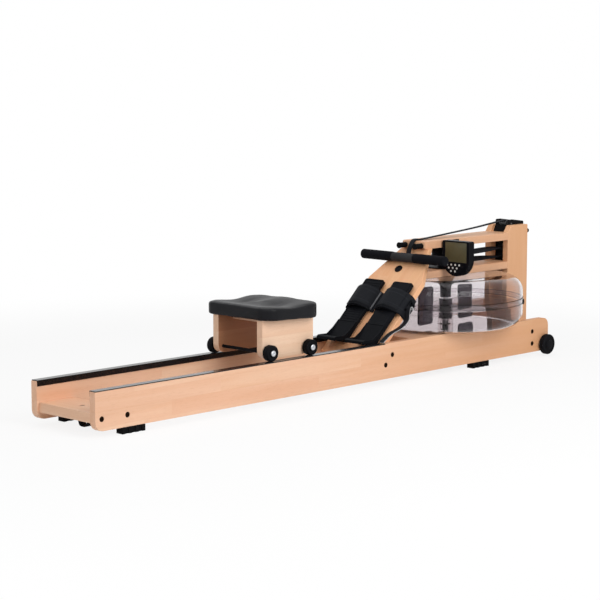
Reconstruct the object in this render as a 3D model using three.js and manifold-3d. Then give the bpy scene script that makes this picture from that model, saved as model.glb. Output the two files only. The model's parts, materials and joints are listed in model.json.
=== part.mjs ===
// Water rowing machine. Two wooden rails carry a round water tank, a sloping footboard, a seat on
// rollers and a tower, whose pulleys lead the handle's strap back to a drum on the paddle shaft.
// Millimetres. X runs along the rails towards the tank, Y to the left, Z up from the floor.

import * as THREE from "three";
import { mergeVertices } from "three/addons/utils/BufferGeometryUtils.js";
import Module from "manifold-3d";

const wasm = await Module();
wasm.setup();

// Gaps shared by all pieces
const fit = 0.3; // between two pieces that seat on each other
const runFit = 0.45; // radial gap round a turning pin
const overrun = 3; // how far a cut runs past the face that it opens

// Facets
const roundSteps = 2; // steps of each half quarter on a rounded corner
const smallSides = 12;
const wheelSides = 24;
const tankSides = 40;

// Frame
const foot = { height: 19.5, length: 113, width: 28, ribs: 5, ribDepth: 3, rearInset: 71, frontInset: 340 };
const rail = { length: 2100, front: 2100, height: 116.5, thickness: 24, span: 288, cornerRadius: 28 };
const boltHole = { radius: 8.5, depth: 7 };
const track = { thickness: 2.5, legDepth: 18, inset: 2 };
const rearBoard = { inset: 8, length: 127, bottom: 41, thickness: 29, holeRadius: 7, sinkRadius: 11, sinkDepth: 5 };
const pullLoop = { inset: 50, width: 25, near: 5, far: 48, bottom: 13, thickness: 2.4 };
const crossBoard = { inset: 30, thickness: 24, bottom: 25, height: 90 };
const baseBoard = { rearMargin: 49.6, frontInset: 4.4, thickness: 24, drop: 2 };
const railBolt = { inset: 16, level: 54.5 };
const crossBolt = { low: 50, high: 93.5 };

// Footboard, drawn in its own slope: u climbs the board, n stands out of its front face
const slope = { angle: 43.6, tankGap: 186.6, startZ: 138 };
const footboard = {
  thickness: 20, tail: 70, shoulder: 261, taperEnd: 339, shoulderGap: 0.5, waist: 86, top: 52,
};
const cleat = { thickness: 38, low: 78, high: 4 };
const cleatBolt = { low: 63.3, high: 18.6 };
const footplate = { inner: 22, outer: 105, bottom: 30, top: 237, thickness: 20, cornerRadius: 7, lip: 5 };
const heelCup = {
  inset: 1, wall: 5, legTop: 50, legThickness: 5, reach: 70, tipDrop: 66, floorThickness: 9, bendRadius: 8,
};
const toeStrap = { low: 135, width: 50, thickness: 2.4, peak: 60, shoulderRise: 40, rim: 2.4, wrap: 22 };
const strapTail = { width: 20, gap: 3.4, hang: 66, reach: 163 };
const buckle = { height: 34, width: 9, thickness: 7, rise: 18 };

// Tower and decks
const upright = { inset: 122, width: 114, thickness: 22.5, halfSpan: 51.6, bottom: 60, top: 466 };
const chamfer = { run: 19, drop: 25 };
const deck = {
  upperTop: 441.5, upperThickness: 25.5, lowerThickness: 24.7, overhang: 5.6, tongue: 22, cornerRadius: 4,
};
const bracket = {
  rear: 31, sheet: 3.4, cheek: 4, bottom: 322, front: 108, noseFront: 118, noseTop: 10, noseBottom: 4,
  noseRadius: 5.4, crest: 18.5, crestEnd: 56, windowHalf: 20, strapWindow: 24, recoilWindow: 18, slantInset: 1,
};
const webbing = { width: 19, thickness: 2 };
const pulley = { pinRadius: 4.5, hubRadius: 7, flange: 3, flangeThickness: 2.5, sideGap: 1.2 };
const pulleyPlaces = {
  top: { inset: 49, z: 469, radius: 12 }, front: { inset: 96, z: 451, radius: 16 },
  lower: { inset: 88, z: 404.3, radius: 16 }, recoil: { inset: 82, z: 341.7, radius: 10 },
};

// Tank, paddle and drum
const tank = {
  radius: 267.4, frontGap: 13.6, top: 314, wall: 4, shoulderRadius: 56, cornerRadius: 49, seam: 228.5,
  flareRadius: 62, neckRadius: 19, neckBend: 262, neckBottom: 234,
};
const tankBand = { bottom: 219, top: 238, thickness: 1.3 };
const clip = { azimuth: -53.5, width: 16, bottom: 213, top: 231, depth: 4 };
const boss = { radius: 17, height: 18, floor: 5 };
const shaft = { radius: 10, topSeat: 9 };
const paddle = {
  hubRadius: 24, hubBottom: 160, hubTop: 228, webBottom: 168, webTop: 226, thickness: 6, inner: 77, sweepGap: 103.4,
  bottom: 150, top: 281, cornerRadius: 12,
};
const paddleTurn = -46; // degrees
const water = { level: 215, sweepGap: 5, floorTop: 146.5, floorInner: 20 };
const plug = { offset: 120, capRadius: 20, capHeight: 8, stemRadius: 14, stemDepth: 7, grip: 5 };
const drum = {
  gap: 0.6, bottomRadius: 79, topRadius: 57.5, top: 412, flangeTop: 343, midBottom: 363, midTop: 376.8,
  capBottom: 397.2, strapCore: 41.7, recoilCore: 19.7, strapRadius: 50, recoilRadius: 30, strapLevel: 387, recoilLevel: 353,
};

// Monitor
const monitor = {
  drumGap: 10, depth: 28, centreY: -116.5, width: 117, top: 443, straight: 62, screenWidth: 94, screenHeight: 68,
  screenDrop: 5, recess: 2.5, ringRadius: 10, ringWidth: 14, ringOffset: 32, cornerRadius: 7,
};
const keys = { radius: 4.2, rise: 0.9, pitch: 19, rowStep: 13, firstDrop: 82 };
const keyRows = [4, 3, 2]; // keys in each row, from the top
const arm = { rodRadius: 6, z: 400, plate: 4, tabWidth: 12, footLength: 60, edge: 2, rodEnd: 95 };

// Handle
const handle = {
  reach: 49, z: 388, length: 412, gripRadius: 16.5, coreRadius: 12, centreHalf: 42.5, centreRadius: 15.5,
};
const collar = { inner: 43, width: 8, radius: 16 };
const grip = { inner: 52, endCap: 6, crown: 3 };
const leg = { radius: 2.5, sides: 6 };
const apex = { inset: 12, z: 445, length: 14, width: 20, thickness: 3 };
const rest = {
  pegY: 35, pegZ: 426.5, pegRadius: 9, pegLength: 38, plate: 3.7, plateDrop: 2, knobRadius: 10.5, knob: 4,
};

// Seat
const seat = { setback: 441, length: 236, width: 286, rearBottom: 263, frontBottom: 254, top: 297, cornerRadius: 46 };
const seatForm = { rim: 7, bowl: 13, ridge: 9, notch: 15, dip: 7, bow: 5, sideTuck: 3 };
const carriage = {
  setback: 110, length: 224, halfSpan: 110, thickness: 24, gap: 5, cornerRadius: 26, baseThickness: 18,
};
const roller = { radius: 25, width: 22, rearInset: 20, frontInset: 29, gap: 4, rimChamfer: 2 };
const axle = { radius: 5, headRadius: 9.5, head: 4 };
const wheel = {
  inset: 22, z: 42, radius: 36, width: 19, pinRadius: 6, gap: 3, capRadius: 17, capRise: 4, chamfer: 4,
};

// Levels and faces worked out from the sizes above
const railTop = foot.height + rail.height;
const railRear = rail.front - rail.length;
const railInner = rail.span / 2 - rail.thickness;
const innerSpan = railInner - fit;
const wheelX = rail.front - wheel.inset;
const uprightStart = rail.front - upright.inset;
const uprightInner = upright.halfSpan - upright.thickness;
const uprightEnd = uprightStart + upright.width;
const crossBoardCentre = uprightStart + crossBoard.inset;
const placed = (place) => ({ x: uprightStart + place.inset, z: place.z, radius: place.radius });
const topRoller = placed(pulleyPlaces.top);
const frontPulley = placed(pulleyPlaces.front);
const lowerPulley = placed(pulleyPlaces.lower);
const recoilPulley = placed(pulleyPlaces.recoil);
const tankX = uprightStart - tank.frontGap - tank.radius;
const paddleOuter = tank.radius - tank.wall - paddle.sweepGap;
const deckFront = uprightStart - fit;
const upperBottom = deck.upperTop - deck.upperThickness;
const lowerBottom = tank.top + fit;
const lowerTop = lowerBottom + deck.lowerThickness;
const tankBottom = railTop + fit;
const slopeTurn = THREE.MathUtils.degToRad(slope.angle);
const alongX = Math.cos(slopeTurn);
const alongZ = Math.sin(slopeTurn);
const slopeStart = tankX - tank.radius - slope.tankGap;

// Places on the slope, in the frame of the rails
const slopeX = (u, n) => slopeStart + u * alongX - n * alongZ;
const slopeU = (z, n) => (z - slope.startZ - n * alongX) / alongZ;
const deckStart = slopeX(slopeU(upperBottom - fit, 0), 0) - deck.overhang;
const handleX = deckStart - handle.reach;
const apexX = deckStart + apex.inset;
const seatX = slopeStart - seat.setback;
const carriageStart = seatX - carriage.setback;
const carriageEnd = carriageStart + carriage.length;

// Materials
const paint = (color, roughness, metalness = 0, extra = {}) =>
  new THREE.MeshStandardMaterial({ color, roughness, metalness, flatShading: true, ...extra });
const ash = paint(0xe8b48c, 0.5);
const paleAsh = paint(0xf0cfb0, 0.5);
const blackPlastic = paint(0x1c1c1e, 0.45);
const blackRubber = paint(0x151515, 0.8);
const webbingBlack = paint(0x1d1e22, 0.85);
const foam = paint(0x202022, 0.9);
const greyPlastic = paint(0x55565a, 0.5);
const steel = paint(0xb8babd, 0.3, 1);
const blackSteel = paint(0x222225, 0.4, 0.6);
const smokyClear = paint(0x5f6670, 0.1, 0, { transparent: true, opacity: 0.45 });
const waterBlue = paint(0x9db4c4, 0.05, 0, { transparent: true, opacity: 0.6 });
const olive = paint(0x6f7350, 0.35);
const padBlack = paint(0x232327, 0.6);

// Solids
function toSolid(geometry) {
  const bare = geometry.clone();
  bare.deleteAttribute("normal");
  bare.deleteAttribute("uv");
  const merged = mergeVertices(bare);
  const corner = (i) => new THREE.Vector3().fromBufferAttribute(merged.attributes.position, i);
  const triangles = [];
  let volume = 0;
  for (let i = 0; i < merged.index.count; i += 3) {
    const [a, b, c] = [0, 1, 2].map((k) => merged.index.getX(i + k));
    if (a !== b && b !== c && c !== a) {
      triangles.push([a, b, c]);
      volume += corner(a).dot(corner(b).cross(corner(c)));
    }
  }
  const outward = volume < 0 ? triangles.map(([a, b, c]) => [a, c, b]) : triangles;
  const vertProperties = new Float32Array(merged.attributes.position.array);
  return new wasm.Manifold(new wasm.Mesh({ numProp: 3, vertProperties, triVerts: new Uint32Array(outward.flat()) }));
}

function toGeometry(solid) {
  const { vertProperties, triVerts } = solid.getMesh();
  const geometry = new THREE.BufferGeometry();
  geometry.setAttribute("position", new THREE.BufferAttribute(new Float32Array(vertProperties), 3));
  geometry.setIndex(new THREE.BufferAttribute(new Uint32Array(triVerts), 1));
  geometry.computeVertexNormals();
  return geometry;
}

const joined = (...solids) => solids.reduce((all, next) => all.add(next));
const cutBy = (solid, ...tools) => tools.reduce((left, tool) => left.subtract(tool), solid);

function box(xLow, xHigh, yLow, yHigh, zLow, zHigh) {
  const geometry = new THREE.BoxGeometry(xHigh - xLow, yHigh - yLow, zHigh - zLow);
  return toSolid(geometry.translate((xLow + xHigh) / 2, (yLow + yHigh) / 2, (zLow + zHigh) / 2));
}

// A closed outline through [a, b, radius] corners, where a radius rounds its corner with an arc
function outline(corners) {
  const shape = new THREE.Shape();
  corners.forEach(([a, b, radius = 0], i) => {
    const here = new THREE.Vector2(a, b);
    const [beforeA, beforeB] = corners[(i + corners.length - 1) % corners.length];
    const [afterA, afterB] = corners[(i + 1) % corners.length];
    const back = new THREE.Vector2(beforeA, beforeB).sub(here).normalize();
    const ahead = new THREE.Vector2(afterA, afterB).sub(here).normalize();
    const halfAngle = Math.acos(THREE.MathUtils.clamp(back.dot(ahead), -1, 1)) / 2;
    const draw = i === 0 ? "moveTo" : "lineTo";
    if (!radius) {
      shape[draw](a, b);
      return;
    }
    const start = here.clone().addScaledVector(back, radius / Math.tan(halfAngle));
    const end = here.clone().addScaledVector(ahead, radius / Math.tan(halfAngle));
    const centre = here.clone().addScaledVector(back.clone().add(ahead).normalize(), radius / Math.sin(halfAngle));
    const clockwise = back.cross(ahead) > 0;
    shape[draw](start.x, start.y);
    const from = start.clone().sub(centre).angle();
    const to = end.clone().sub(centre).angle();
    shape.absarc(centre.x, centre.y, radius, from, to, clockwise);
  });
  return shape;
}

const extruded = (shape, depth) =>
  new THREE.ExtrudeGeometry(shape, { depth, bevelEnabled: false, curveSegments: roundSteps });

// An outline drawn in X and Z, given its thickness along Y
function sideCut(corners, yLow, yHigh) {
  return toSolid(extruded(outline(corners), yHigh - yLow).rotateX(Math.PI / 2).translate(0, yHigh, 0));
}

// An outline drawn in X and Y, given its thickness along Z
function planCut(corners, zLow, zHigh) {
  return toSolid(extruded(outline(corners), zHigh - zLow).translate(0, 0, zLow));
}

// An outline drawn in Y and Z, given its thickness along X
function endCut(shape, xLow, xHigh) {
  const turn = new THREE.Matrix4().makeBasis(
    new THREE.Vector3(0, 1, 0), new THREE.Vector3(0, 0, 1), new THREE.Vector3(1, 0, 0));
  return toSolid(extruded(shape, xHigh - xLow).applyMatrix4(turn).translate(xLow, 0, 0));
}

// A round bar along one axis, between two places on it
function bar(axis, radius, from, to, x, y, z, sides = smallSides) {
  const geometry = new THREE.CylinderGeometry(radius, radius, to - from, sides);
  const middle = (from + to) / 2;
  if (axis === "x") geometry.rotateZ(Math.PI / 2).translate(middle, y, z);
  if (axis === "y") geometry.translate(x, middle, z);
  if (axis === "z") geometry.rotateX(Math.PI / 2).translate(x, y, middle);
  return toSolid(geometry);
}

// A profile of [radius, height] points turned about Z, or a path drawn in the same way
function turned(profile, sides) {
  const points = Array.isArray(profile) ? profile.map(([r, z]) => new THREE.Vector2(r, z)) : profile;
  return toSolid(new THREE.LatheGeometry(points, sides).rotateX(Math.PI / 2));
}

// The same profile turned about Y: its heights run along Y
function turnedSideways(profile, sides) {
  const points = profile.map(([r, y]) => new THREE.Vector2(r, y));
  return toSolid(new THREE.LatheGeometry(points, sides));
}

// A section swept through stations of { at, across }, closed at both ends
function swept(stations, section) {
  const rings = stations.map(({ at, across }, i) => {
    const before = stations[Math.max(i - 1, 0)].at;
    const after = stations[Math.min(i + 1, stations.length - 1)].at;
    const forward = after.clone().sub(before).normalize();
    const side = across.clone().addScaledVector(forward, -across.dot(forward)).normalize();
    const up = forward.clone().cross(side);
    return section.map(([a, b]) => at.clone().addScaledVector(side, a).addScaledVector(up, b));
  });
  const count = section.length;
  const positions = rings.flat().flatMap((p) => [p.x, p.y, p.z]);
  const index = [];
  for (let i = 0; i + 1 < rings.length; i += 1) {
    for (let j = 0; j < count; j += 1) {
      const a = i * count + j;
      const b = i * count + ((j + 1) % count);
      index.push(a, b, b + count, a, b + count, a + count);
    }
  }
  const last = (rings.length - 1) * count;
  for (let j = 1; j + 1 < count; j += 1) {
    index.push(0, j + 1, j, last, last + j, last + j + 1);
  }
  const geometry = new THREE.BufferGeometry();
  geometry.setAttribute("position", new THREE.Float32BufferAttribute(positions, 3));
  geometry.setIndex(index);
  return toSolid(geometry);
}

const bandSection = (width, thickness) => [
  [-width / 2, -thickness / 2], [width / 2, -thickness / 2], [width / 2, thickness / 2], [-width / 2, thickness / 2],
];
const roundSection = (radius, sides) =>
  Array.from({ length: sides }, (_, i) => {
    const a = (2 * Math.PI * i) / sides;
    return [radius * Math.cos(a), radius * Math.sin(a)];
  });

const vector = (x, y, z) => new THREE.Vector3(x, y, z);
const acrossY = vector(0, 1, 0);

// Stations on an arc round a pulley that lies along Y; angles in radians from +X towards +Z
function wrap(centre, radius, from, to, steps) {
  return Array.from({ length: steps + 1 }, (_, i) => {
    const a = from + ((to - from) * i) / steps;
    return { at: vector(centre.x + radius * Math.cos(a), 0, centre.z + radius * Math.sin(a)), across: acrossY };
  });
}

// The angle at which a belt leaves one pulley for the next, on their common outer side
function beltAngle(first, firstRadius, second, secondRadius) {
  const dx = second.x - first.x;
  const dz = second.z - first.z;
  return Math.atan2(dz, dx) + Math.acos((firstRadius - secondRadius) / Math.hypot(dx, dz));
}

// A flat strip that follows a smooth line in one plane: its outline there
function stripOutline(points, thickness, steps) {
  const line = new THREE.SplineCurve(points.map(([a, b]) => new THREE.Vector2(a, b)));
  const centre = line.getSpacedPoints(steps);
  const offset = (side) =>
    centre.map((p, i) => {
      const t = centre[Math.min(i + 1, steps)].clone().sub(centre[Math.max(i - 1, 0)]).normalize();
      return new THREE.Vector2(p.x - t.y * side, p.y + t.x * side);
    });
  return new THREE.Shape([...offset(thickness / 2), ...offset(-thickness / 2).reverse()]);
}

const machine = new THREE.Group();
machine.position.x = -(railRear + wheelX + wheel.radius) / 2;
const slopeGroup = new THREE.Group();
slopeGroup.position.set(slopeStart, 0, slope.startZ);
slopeGroup.rotation.y = -slopeTurn;
machine.add(slopeGroup);

function piece(name, solid, material, parent = machine) {
  const mesh = new THREE.Mesh(toGeometry(solid), material);
  mesh.name = name;
  parent.add(mesh);
}

const mirrored = (solid, side) => (side < 0 ? solid : solid.mirror([0, 1, 0]));
const sides = [["near", -1], ["far", 1]];

// Rails, with bolt recesses in their outer faces and a bore for the wheel's pin
const trackSeat = railTop - track.thickness;
const rearBoardStart = railRear + rearBoard.inset;
const rearBoardEnd = rearBoardStart + rearBoard.length;
const trackEnd = slopeX(slopeU(railTop - track.legDepth, 0), 0) - 2 * fit;

function railSolid() {
  const outer = -rail.span / 2;
  const bottom = foot.height;
  let solid = sideCut([
    [railRear, bottom, rail.cornerRadius], [rail.front, bottom, rail.cornerRadius],
    [rail.front, railTop, rail.cornerRadius], [trackEnd + fit, railTop],
    [trackEnd + fit, trackSeat - fit], [railRear, trackSeat - fit],
  ], outer, outer + rail.thickness);
  const places = [
    [rearBoardStart + railBolt.inset, railBolt.level], [rearBoardEnd - railBolt.inset, railBolt.level],
    [crossBoardCentre, crossBolt.low], [crossBoardCentre, crossBolt.high],
  ];
  const cleatMiddle = -(footboard.thickness + fit + cleat.thickness / 2);
  for (const u of [-cleatBolt.low, -cleatBolt.high]) {
    places.push([slopeX(u, cleatMiddle), slope.startZ + u * alongZ + cleatMiddle * alongX]);
  }
  for (const [x, z] of places) {
    solid = solid.subtract(bar("y", boltHole.radius, outer - overrun, outer + boltHole.depth, x, 0, z));
  }
  const bore = wheel.pinRadius + runFit;
  return solid.subtract(bar("y", bore, outer - overrun, outer + rail.thickness + overrun, wheelX, 0, wheel.z));
}

function trackSolid() {
  const outer = -rail.span / 2;
  const top = box(railRear + track.inset, trackEnd, outer, -railInner + track.thickness + fit, trackSeat, railTop);
  const inner = box(railRear + track.inset, trackEnd, -railInner + fit, -railInner + fit + track.thickness,
    railTop - track.legDepth, railTop);
  return top.add(inner);
}

// A ribbed rubber block under a rail
function footSolid(start) {
  const rib = foot.length / (2 * foot.ribs - 1);
  const middle = -rail.span / 2 + rail.thickness / 2;
  const outerEdge = [];
  const innerEdge = [];
  for (let i = 0; i < 2 * foot.ribs - 1; i += 1) {
    const half = foot.width / 2 - (i % 2) * foot.ribDepth;
    outerEdge.push([start + i * rib, middle - half], [start + (i + 1) * rib, middle - half]);
    innerEdge.push([start + i * rib, middle + half], [start + (i + 1) * rib, middle + half]);
  }
  return planCut([...outerEdge, ...innerEdge.reverse()], 0, foot.height - fit);
}

for (const [name, side] of sides) {
  piece(`${name}_rail`, mirrored(railSolid(), side), ash);
  piece(`${name}_track`, mirrored(trackSolid(), side), blackPlastic);
  piece(`rear_${name}_foot`, mirrored(footSolid(railRear + foot.rearInset), side), blackRubber);
  piece(`front_${name}_foot`, mirrored(footSolid(rail.front - foot.frontInset - foot.length), side), blackRubber);
}

// Boards that tie the rails together
function rearBoardSolid() {
  const top = rearBoard.bottom + rearBoard.thickness;
  const middle = (rearBoardStart + rearBoardEnd) / 2;
  const hole = turned([
    [0, rearBoard.bottom - overrun], [rearBoard.holeRadius, rearBoard.bottom - overrun],
    [rearBoard.holeRadius, top - rearBoard.sinkDepth], [rearBoard.sinkRadius, top],
    [rearBoard.sinkRadius, top + overrun], [0, top + overrun],
  ], smallSides).translate([middle, 0, 0]);
  return box(rearBoardStart, rearBoardEnd, -innerSpan, innerSpan, rearBoard.bottom, top).subtract(hole);
}

// A webbing loop under the rear board, by which the rails are lifted
function pullLoopSolid() {
  const head = rearBoard.bottom - fit;
  const { inset, width, near, far, bottom, thickness } = pullLoop;
  const start = railRear + inset;
  const waist = (head + bottom) / 2;
  const loop = stripOutline([
    [-near, head], [-near - thickness, waist], [-near - 4 * thickness, bottom + thickness],
    [-far + 4 * thickness, bottom + thickness], [-far + thickness, waist], [-far, head],
  ], thickness, 18);
  const seat = box(start, start + width, -far, -near, head - thickness, head);
  return endCut(loop, start, start + width).intersect(
    box(start - overrun, start + width + overrun, -far - overrun, -near + overrun, 0, head)).add(seat);
}

const crossBoardTop = crossBoard.bottom + crossBoard.height;
const crossBoardRear = crossBoardCentre - crossBoard.thickness / 2;
const crossBoardFront = crossBoardCentre + crossBoard.thickness / 2;
piece("rear_cross_board", rearBoardSolid(), ash);
piece("rear_pull_loop", pullLoopSolid(), webbingBlack);
piece("front_cross_board",
  box(crossBoardRear, crossBoardFront, -innerSpan, innerSpan, crossBoard.bottom, crossBoardTop), ash);
piece("tank_base_board",
  box(tankX - tank.radius - baseBoard.rearMargin, tankX + tank.radius - baseBoard.frontInset, -innerSpan, innerSpan,
    railTop - baseBoard.drop - baseBoard.thickness, railTop - baseBoard.drop), ash);

// Footboard, cut level at its top to carry the upper deck, and the cleat bolted behind it
function footboardSolid() {
  const full = innerSpan - footboard.shoulderGap;
  const deckSeat = upperBottom - fit;
  const topFront = slopeU(deckSeat, 0);
  const topBack = slopeU(deckSeat, -footboard.thickness);
  const face = planCut([
    [-footboard.tail, -full], [footboard.shoulder, -full], [footboard.taperEnd, -footboard.waist],
    [topBack, -footboard.top], [topBack, footboard.top], [footboard.taperEnd, footboard.waist],
    [footboard.shoulder, full], [-footboard.tail, full],
  ], -footboard.thickness, 0);
  const side = sideCut([
    [-footboard.tail, -footboard.thickness], [topBack, -footboard.thickness], [topFront, 0],
    [-footboard.tail, 0],
  ], -full - overrun, full + overrun);
  return face.intersect(side);
}

const cleatTop = -footboard.thickness - fit;
piece("footboard", footboardSolid(), ash, slopeGroup);
piece("footboard_cleat",
  box(-cleat.low, -cleat.high, -innerSpan, innerSpan, cleatTop - cleat.thickness, cleatTop), ash, slopeGroup);

// Footplates, each with a heel cup that slides on it and a toe strap over it
function footplateSolid() {
  const { bottom, top, inner, outer, thickness, cornerRadius, lip } = footplate;
  const plate = planCut([
    [-bottom, -outer, cornerRadius], [top, -outer, cornerRadius],
    [top, -inner, cornerRadius], [-bottom, -inner, cornerRadius],
  ], fit, thickness);
  const hollow = planCut([
    [heelCup.legTop + lip, -outer + lip, cornerRadius], [top - lip, -outer + lip, cornerRadius],
    [top - lip, -inner - lip, cornerRadius], [heelCup.legTop + lip, -inner - lip, cornerRadius],
  ], thickness - track.thickness, thickness + overrun);
  return plate.subtract(hollow);
}

function heelCupSolid() {
  const base = footplate.thickness + fit;
  const { reach, tipDrop, floorThickness, legTop, legThickness, bendRadius, wall, inset } = heelCup;
  const low = -footplate.outer + inset;
  const high = -footplate.inner - inset;
  const tipBack = tipDrop - floorThickness;
  const shelf = sideCut([
    [legTop, base], [legTop, base + legThickness], [0, base + legThickness, bendRadius],
    [-tipBack, reach - floorThickness, bendRadius], [-tipBack + floorThickness / 2, reach + floorThickness],
    [-tipBack - floorThickness / 2, reach + floorThickness], [-tipDrop, reach - floorThickness, bendRadius],
    [-footplate.bottom, base],
  ], low, high);
  const cheek = [
    [legTop, base], [legTop, base + legThickness], [0, base + reach / 2, bendRadius],
    [-tipBack, reach + floorThickness], [-tipDrop, reach - floorThickness, bendRadius],
    [-footplate.bottom, base],
  ];
  return joined(shelf, sideCut(cheek, low, low + wall), sideCut(cheek, high - wall, high));
}

// The webbing lies on the board between the plates, arches over the foot and wraps the board's edge.
// The shares are of the plate's inner edge, the rim, the plate's thickness and the arch's peak.
const archShares = {
  board: 0.4, boardRise: 1.5, plateEdge: 0.78, plateRise: 0.7, innerRise: 0.86, outerRise: 0.88,
};
const archSteps = 28;

function toeStrapSolid() {
  const edge = innerSpan - footboard.shoulderGap + toeStrap.rim;
  const { peak, shoulderRise, rim, low, width, thickness, wrap: wrapDepth } = toeStrap;
  const inner = footplate.inner;
  const outer = footplate.outer;
  const middle = (inner + outer) / 2;
  const { board, boardRise, plateEdge, plateRise, innerRise, outerRise } = archShares;
  const arch = stripOutline([
    [-rim, rim], [-inner * board, rim * boardRise], [-inner * plateEdge, footplate.thickness * plateRise],
    [-inner, footplate.thickness + rim], [-(inner + middle) / 2, peak * innerRise],
    [-middle, peak], [-(outer + middle) / 2, peak * outerRise], [-outer, shoulderRise], [-edge, rim],
    [-edge, -wrapDepth],
  ], thickness, archSteps);
  return endCut(arch, low, low + width);
}

function buckleSolid() {
  const edge = innerSpan - footboard.shoulderGap + toeStrap.rim + toeStrap.thickness / 2;
  const middle = toeStrap.low + toeStrap.width / 2;
  const half = buckle.height / 2;
  const frame = box(middle - half, middle + half, -edge - buckle.thickness, -edge,
    -buckle.width - buckle.rise, -buckle.rise + buckle.width);
  const slot = box(middle - half + fit + buckle.thickness, middle + half - fit - buckle.thickness,
    -edge - buckle.thickness - overrun, -edge - buckle.thickness / 2,
    -buckle.rise - buckle.width / 2, -buckle.rise + buckle.width / 2);
  return frame.subtract(slot);
}

// The loose end of the near strap hangs in a loop beside the footboard, down to the rail. Its route is
// given in shares of how far up the slope it reaches and of how far behind the board it hangs.
const tailShares = [
  [0.914, -0.303], [1, -0.545], [0.92, -1], [0.638, -1], [0.319, -0.515], [0.104, -0.091], [-0.018, 0.076],
  [-0.055, 0.197],
];
const tailSteps = 24;

function strapTailSolid() {
  const edge = innerSpan - footboard.shoulderGap + toeStrap.rim;
  const across = -edge - strapTail.gap;
  const route = tailShares.map(([along, out]) => [along * strapTail.reach, out * strapTail.hang]);
  const loop = stripOutline(route, toeStrap.thickness, tailSteps);
  const strip = toSolid(extruded(loop, strapTail.width).rotateX(Math.PI / 2).translate(0, across, 0));
  const middle = toeStrap.low + toeStrap.width / 2;
  const seat = box(middle - strapTail.width / 2, middle + strapTail.width / 2, across - toeStrap.thickness,
    -edge, -toeStrap.wrap, -toeStrap.wrap + buckle.width);
  return strip.add(seat);
}

for (const [name, side] of sides) {
  const strap = toeStrapSolid().add(buckleSolid());
  piece(`${name}_footplate`, mirrored(footplateSolid(), side), blackPlastic, slopeGroup);
  piece(`${name}_heel_cup`, mirrored(heelCupSolid(), side), blackPlastic, slopeGroup);
  const whole = side < 0 ? strap.add(strapTailSolid()) : strap;
  piece(`${name}_toe_strap`, mirrored(whole, side), webbingBlack, slopeGroup);
}

// Uprights, notched over the front cross board and chamfered at the rear of their tops
function uprightSolid() {
  const { bottom, top, halfSpan } = upright;
  const start = uprightStart;
  const body = sideCut([
    [start, bottom], [uprightEnd, bottom], [uprightEnd, top, deck.cornerRadius],
    [start + chamfer.run, top], [start, top - chamfer.drop],
  ], -halfSpan, -uprightInner);
  const notch = box(crossBoardRear - fit, crossBoardFront + fit, -halfSpan - overrun, -uprightInner + overrun,
    bottom - overrun, crossBoardTop + fit);
  return body.subtract(notch);
}

for (const [name, side] of sides) {
  piece(`${name}_upright`, mirrored(uprightSolid(), side), ash);
}

// Decks, each with a tongue between the uprights; the paddle shaft passes the lower one
function deckSolid(start, bottom, top) {
  const half = upright.halfSpan;
  const tongueHalf = uprightInner - fit;
  return planCut([
    [start, -half, deck.cornerRadius], [deckFront, -half], [deckFront, -tongueHalf],
    [uprightStart + deck.tongue, -tongueHalf], [uprightStart + deck.tongue, tongueHalf],
    [deckFront, tongueHalf], [deckFront, half], [start, half, deck.cornerRadius],
  ], bottom, top);
}

const shaftHole = (from, to) => bar("z", shaft.radius + runFit, from, to, tankX, 0, 0);
const lowerStart = slopeX(slopeU(lowerTop, -footboard.thickness), -footboard.thickness) + 2 * fit;
piece("upper_deck",
  deckSolid(deckStart, upperBottom, deck.upperTop)
    .subtract(shaftHole(upperBottom - overrun, upperBottom + shaft.topSeat + fit)), ash);
piece("lower_deck",
  deckSolid(lowerStart, lowerBottom, lowerTop)
    .subtract(shaftHole(lowerBottom - overrun, lowerTop + overrun)), ash);

// The steel bracket between the uprights carries every pulley on pins in its two cheeks
const cheekOuter = uprightInner - fit;
const cheekInner = cheekOuter - bracket.cheek;
const bracketRear = uprightStart + bracket.rear;
const pulleys = [topRoller, frontPulley, lowerPulley, recoilPulley];

function bracketSolid() {
  const ledge = deck.upperTop + fit;
  const slantFoot = uprightStart + chamfer.run - bracket.slantInset;
  const slantHead = bracketRear - bracket.slantInset;
  const front = uprightStart + bracket.front;
  const crestZ = upright.top + bracket.crest;
  const nose = uprightStart + bracket.noseFront;
  const cheek = [
    [bracketRear, bracket.bottom], [front, bracket.bottom], [front, upright.top - bracket.noseBottom],
    [nose, upright.top - bracket.noseBottom, bracket.noseRadius], [nose, upright.top + bracket.noseTop, bracket.noseRadius],
    [uprightStart + bracket.crestEnd, crestZ], [slantHead, crestZ, bracket.noseRadius], [slantHead, upright.top],
    [slantFoot, ledge], [bracketRear, ledge],
  ];
  const span = cheekInner + fit;
  const web = box(bracketRear, bracketRear + bracket.sheet, -span, span, bracket.bottom, ledge);
  const slant = sideCut([
    [slantFoot, ledge], [slantFoot + bracket.sheet, ledge], [slantHead + bracket.sheet, upright.top],
    [slantHead, upright.top],
  ], -span, span);
  const ledgeWeb = box(slantFoot, bracketRear + bracket.sheet, -span, span, ledge, ledge + bracket.sheet);
  let solid = joined(sideCut(cheek, -cheekOuter, -cheekInner), sideCut(cheek, cheekInner, cheekOuter),
    web, slant, ledgeWeb);
  for (const [level, height] of [[drum.strapLevel, bracket.strapWindow], [drum.recoilLevel, bracket.recoilWindow]]) {
    solid = solid.subtract(box(bracketRear - overrun, bracketRear + bracket.sheet + overrun,
      -bracket.windowHalf, bracket.windowHalf, level - height / 2, level + height / 2));
  }
  for (const { x, z } of pulleys) {
    const bore = pulley.pinRadius + runFit;
    solid = solid.subtract(bar("y", bore, -cheekOuter - overrun, cheekOuter + overrun, x, 0, z));
  }
  return solid;
}

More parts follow.
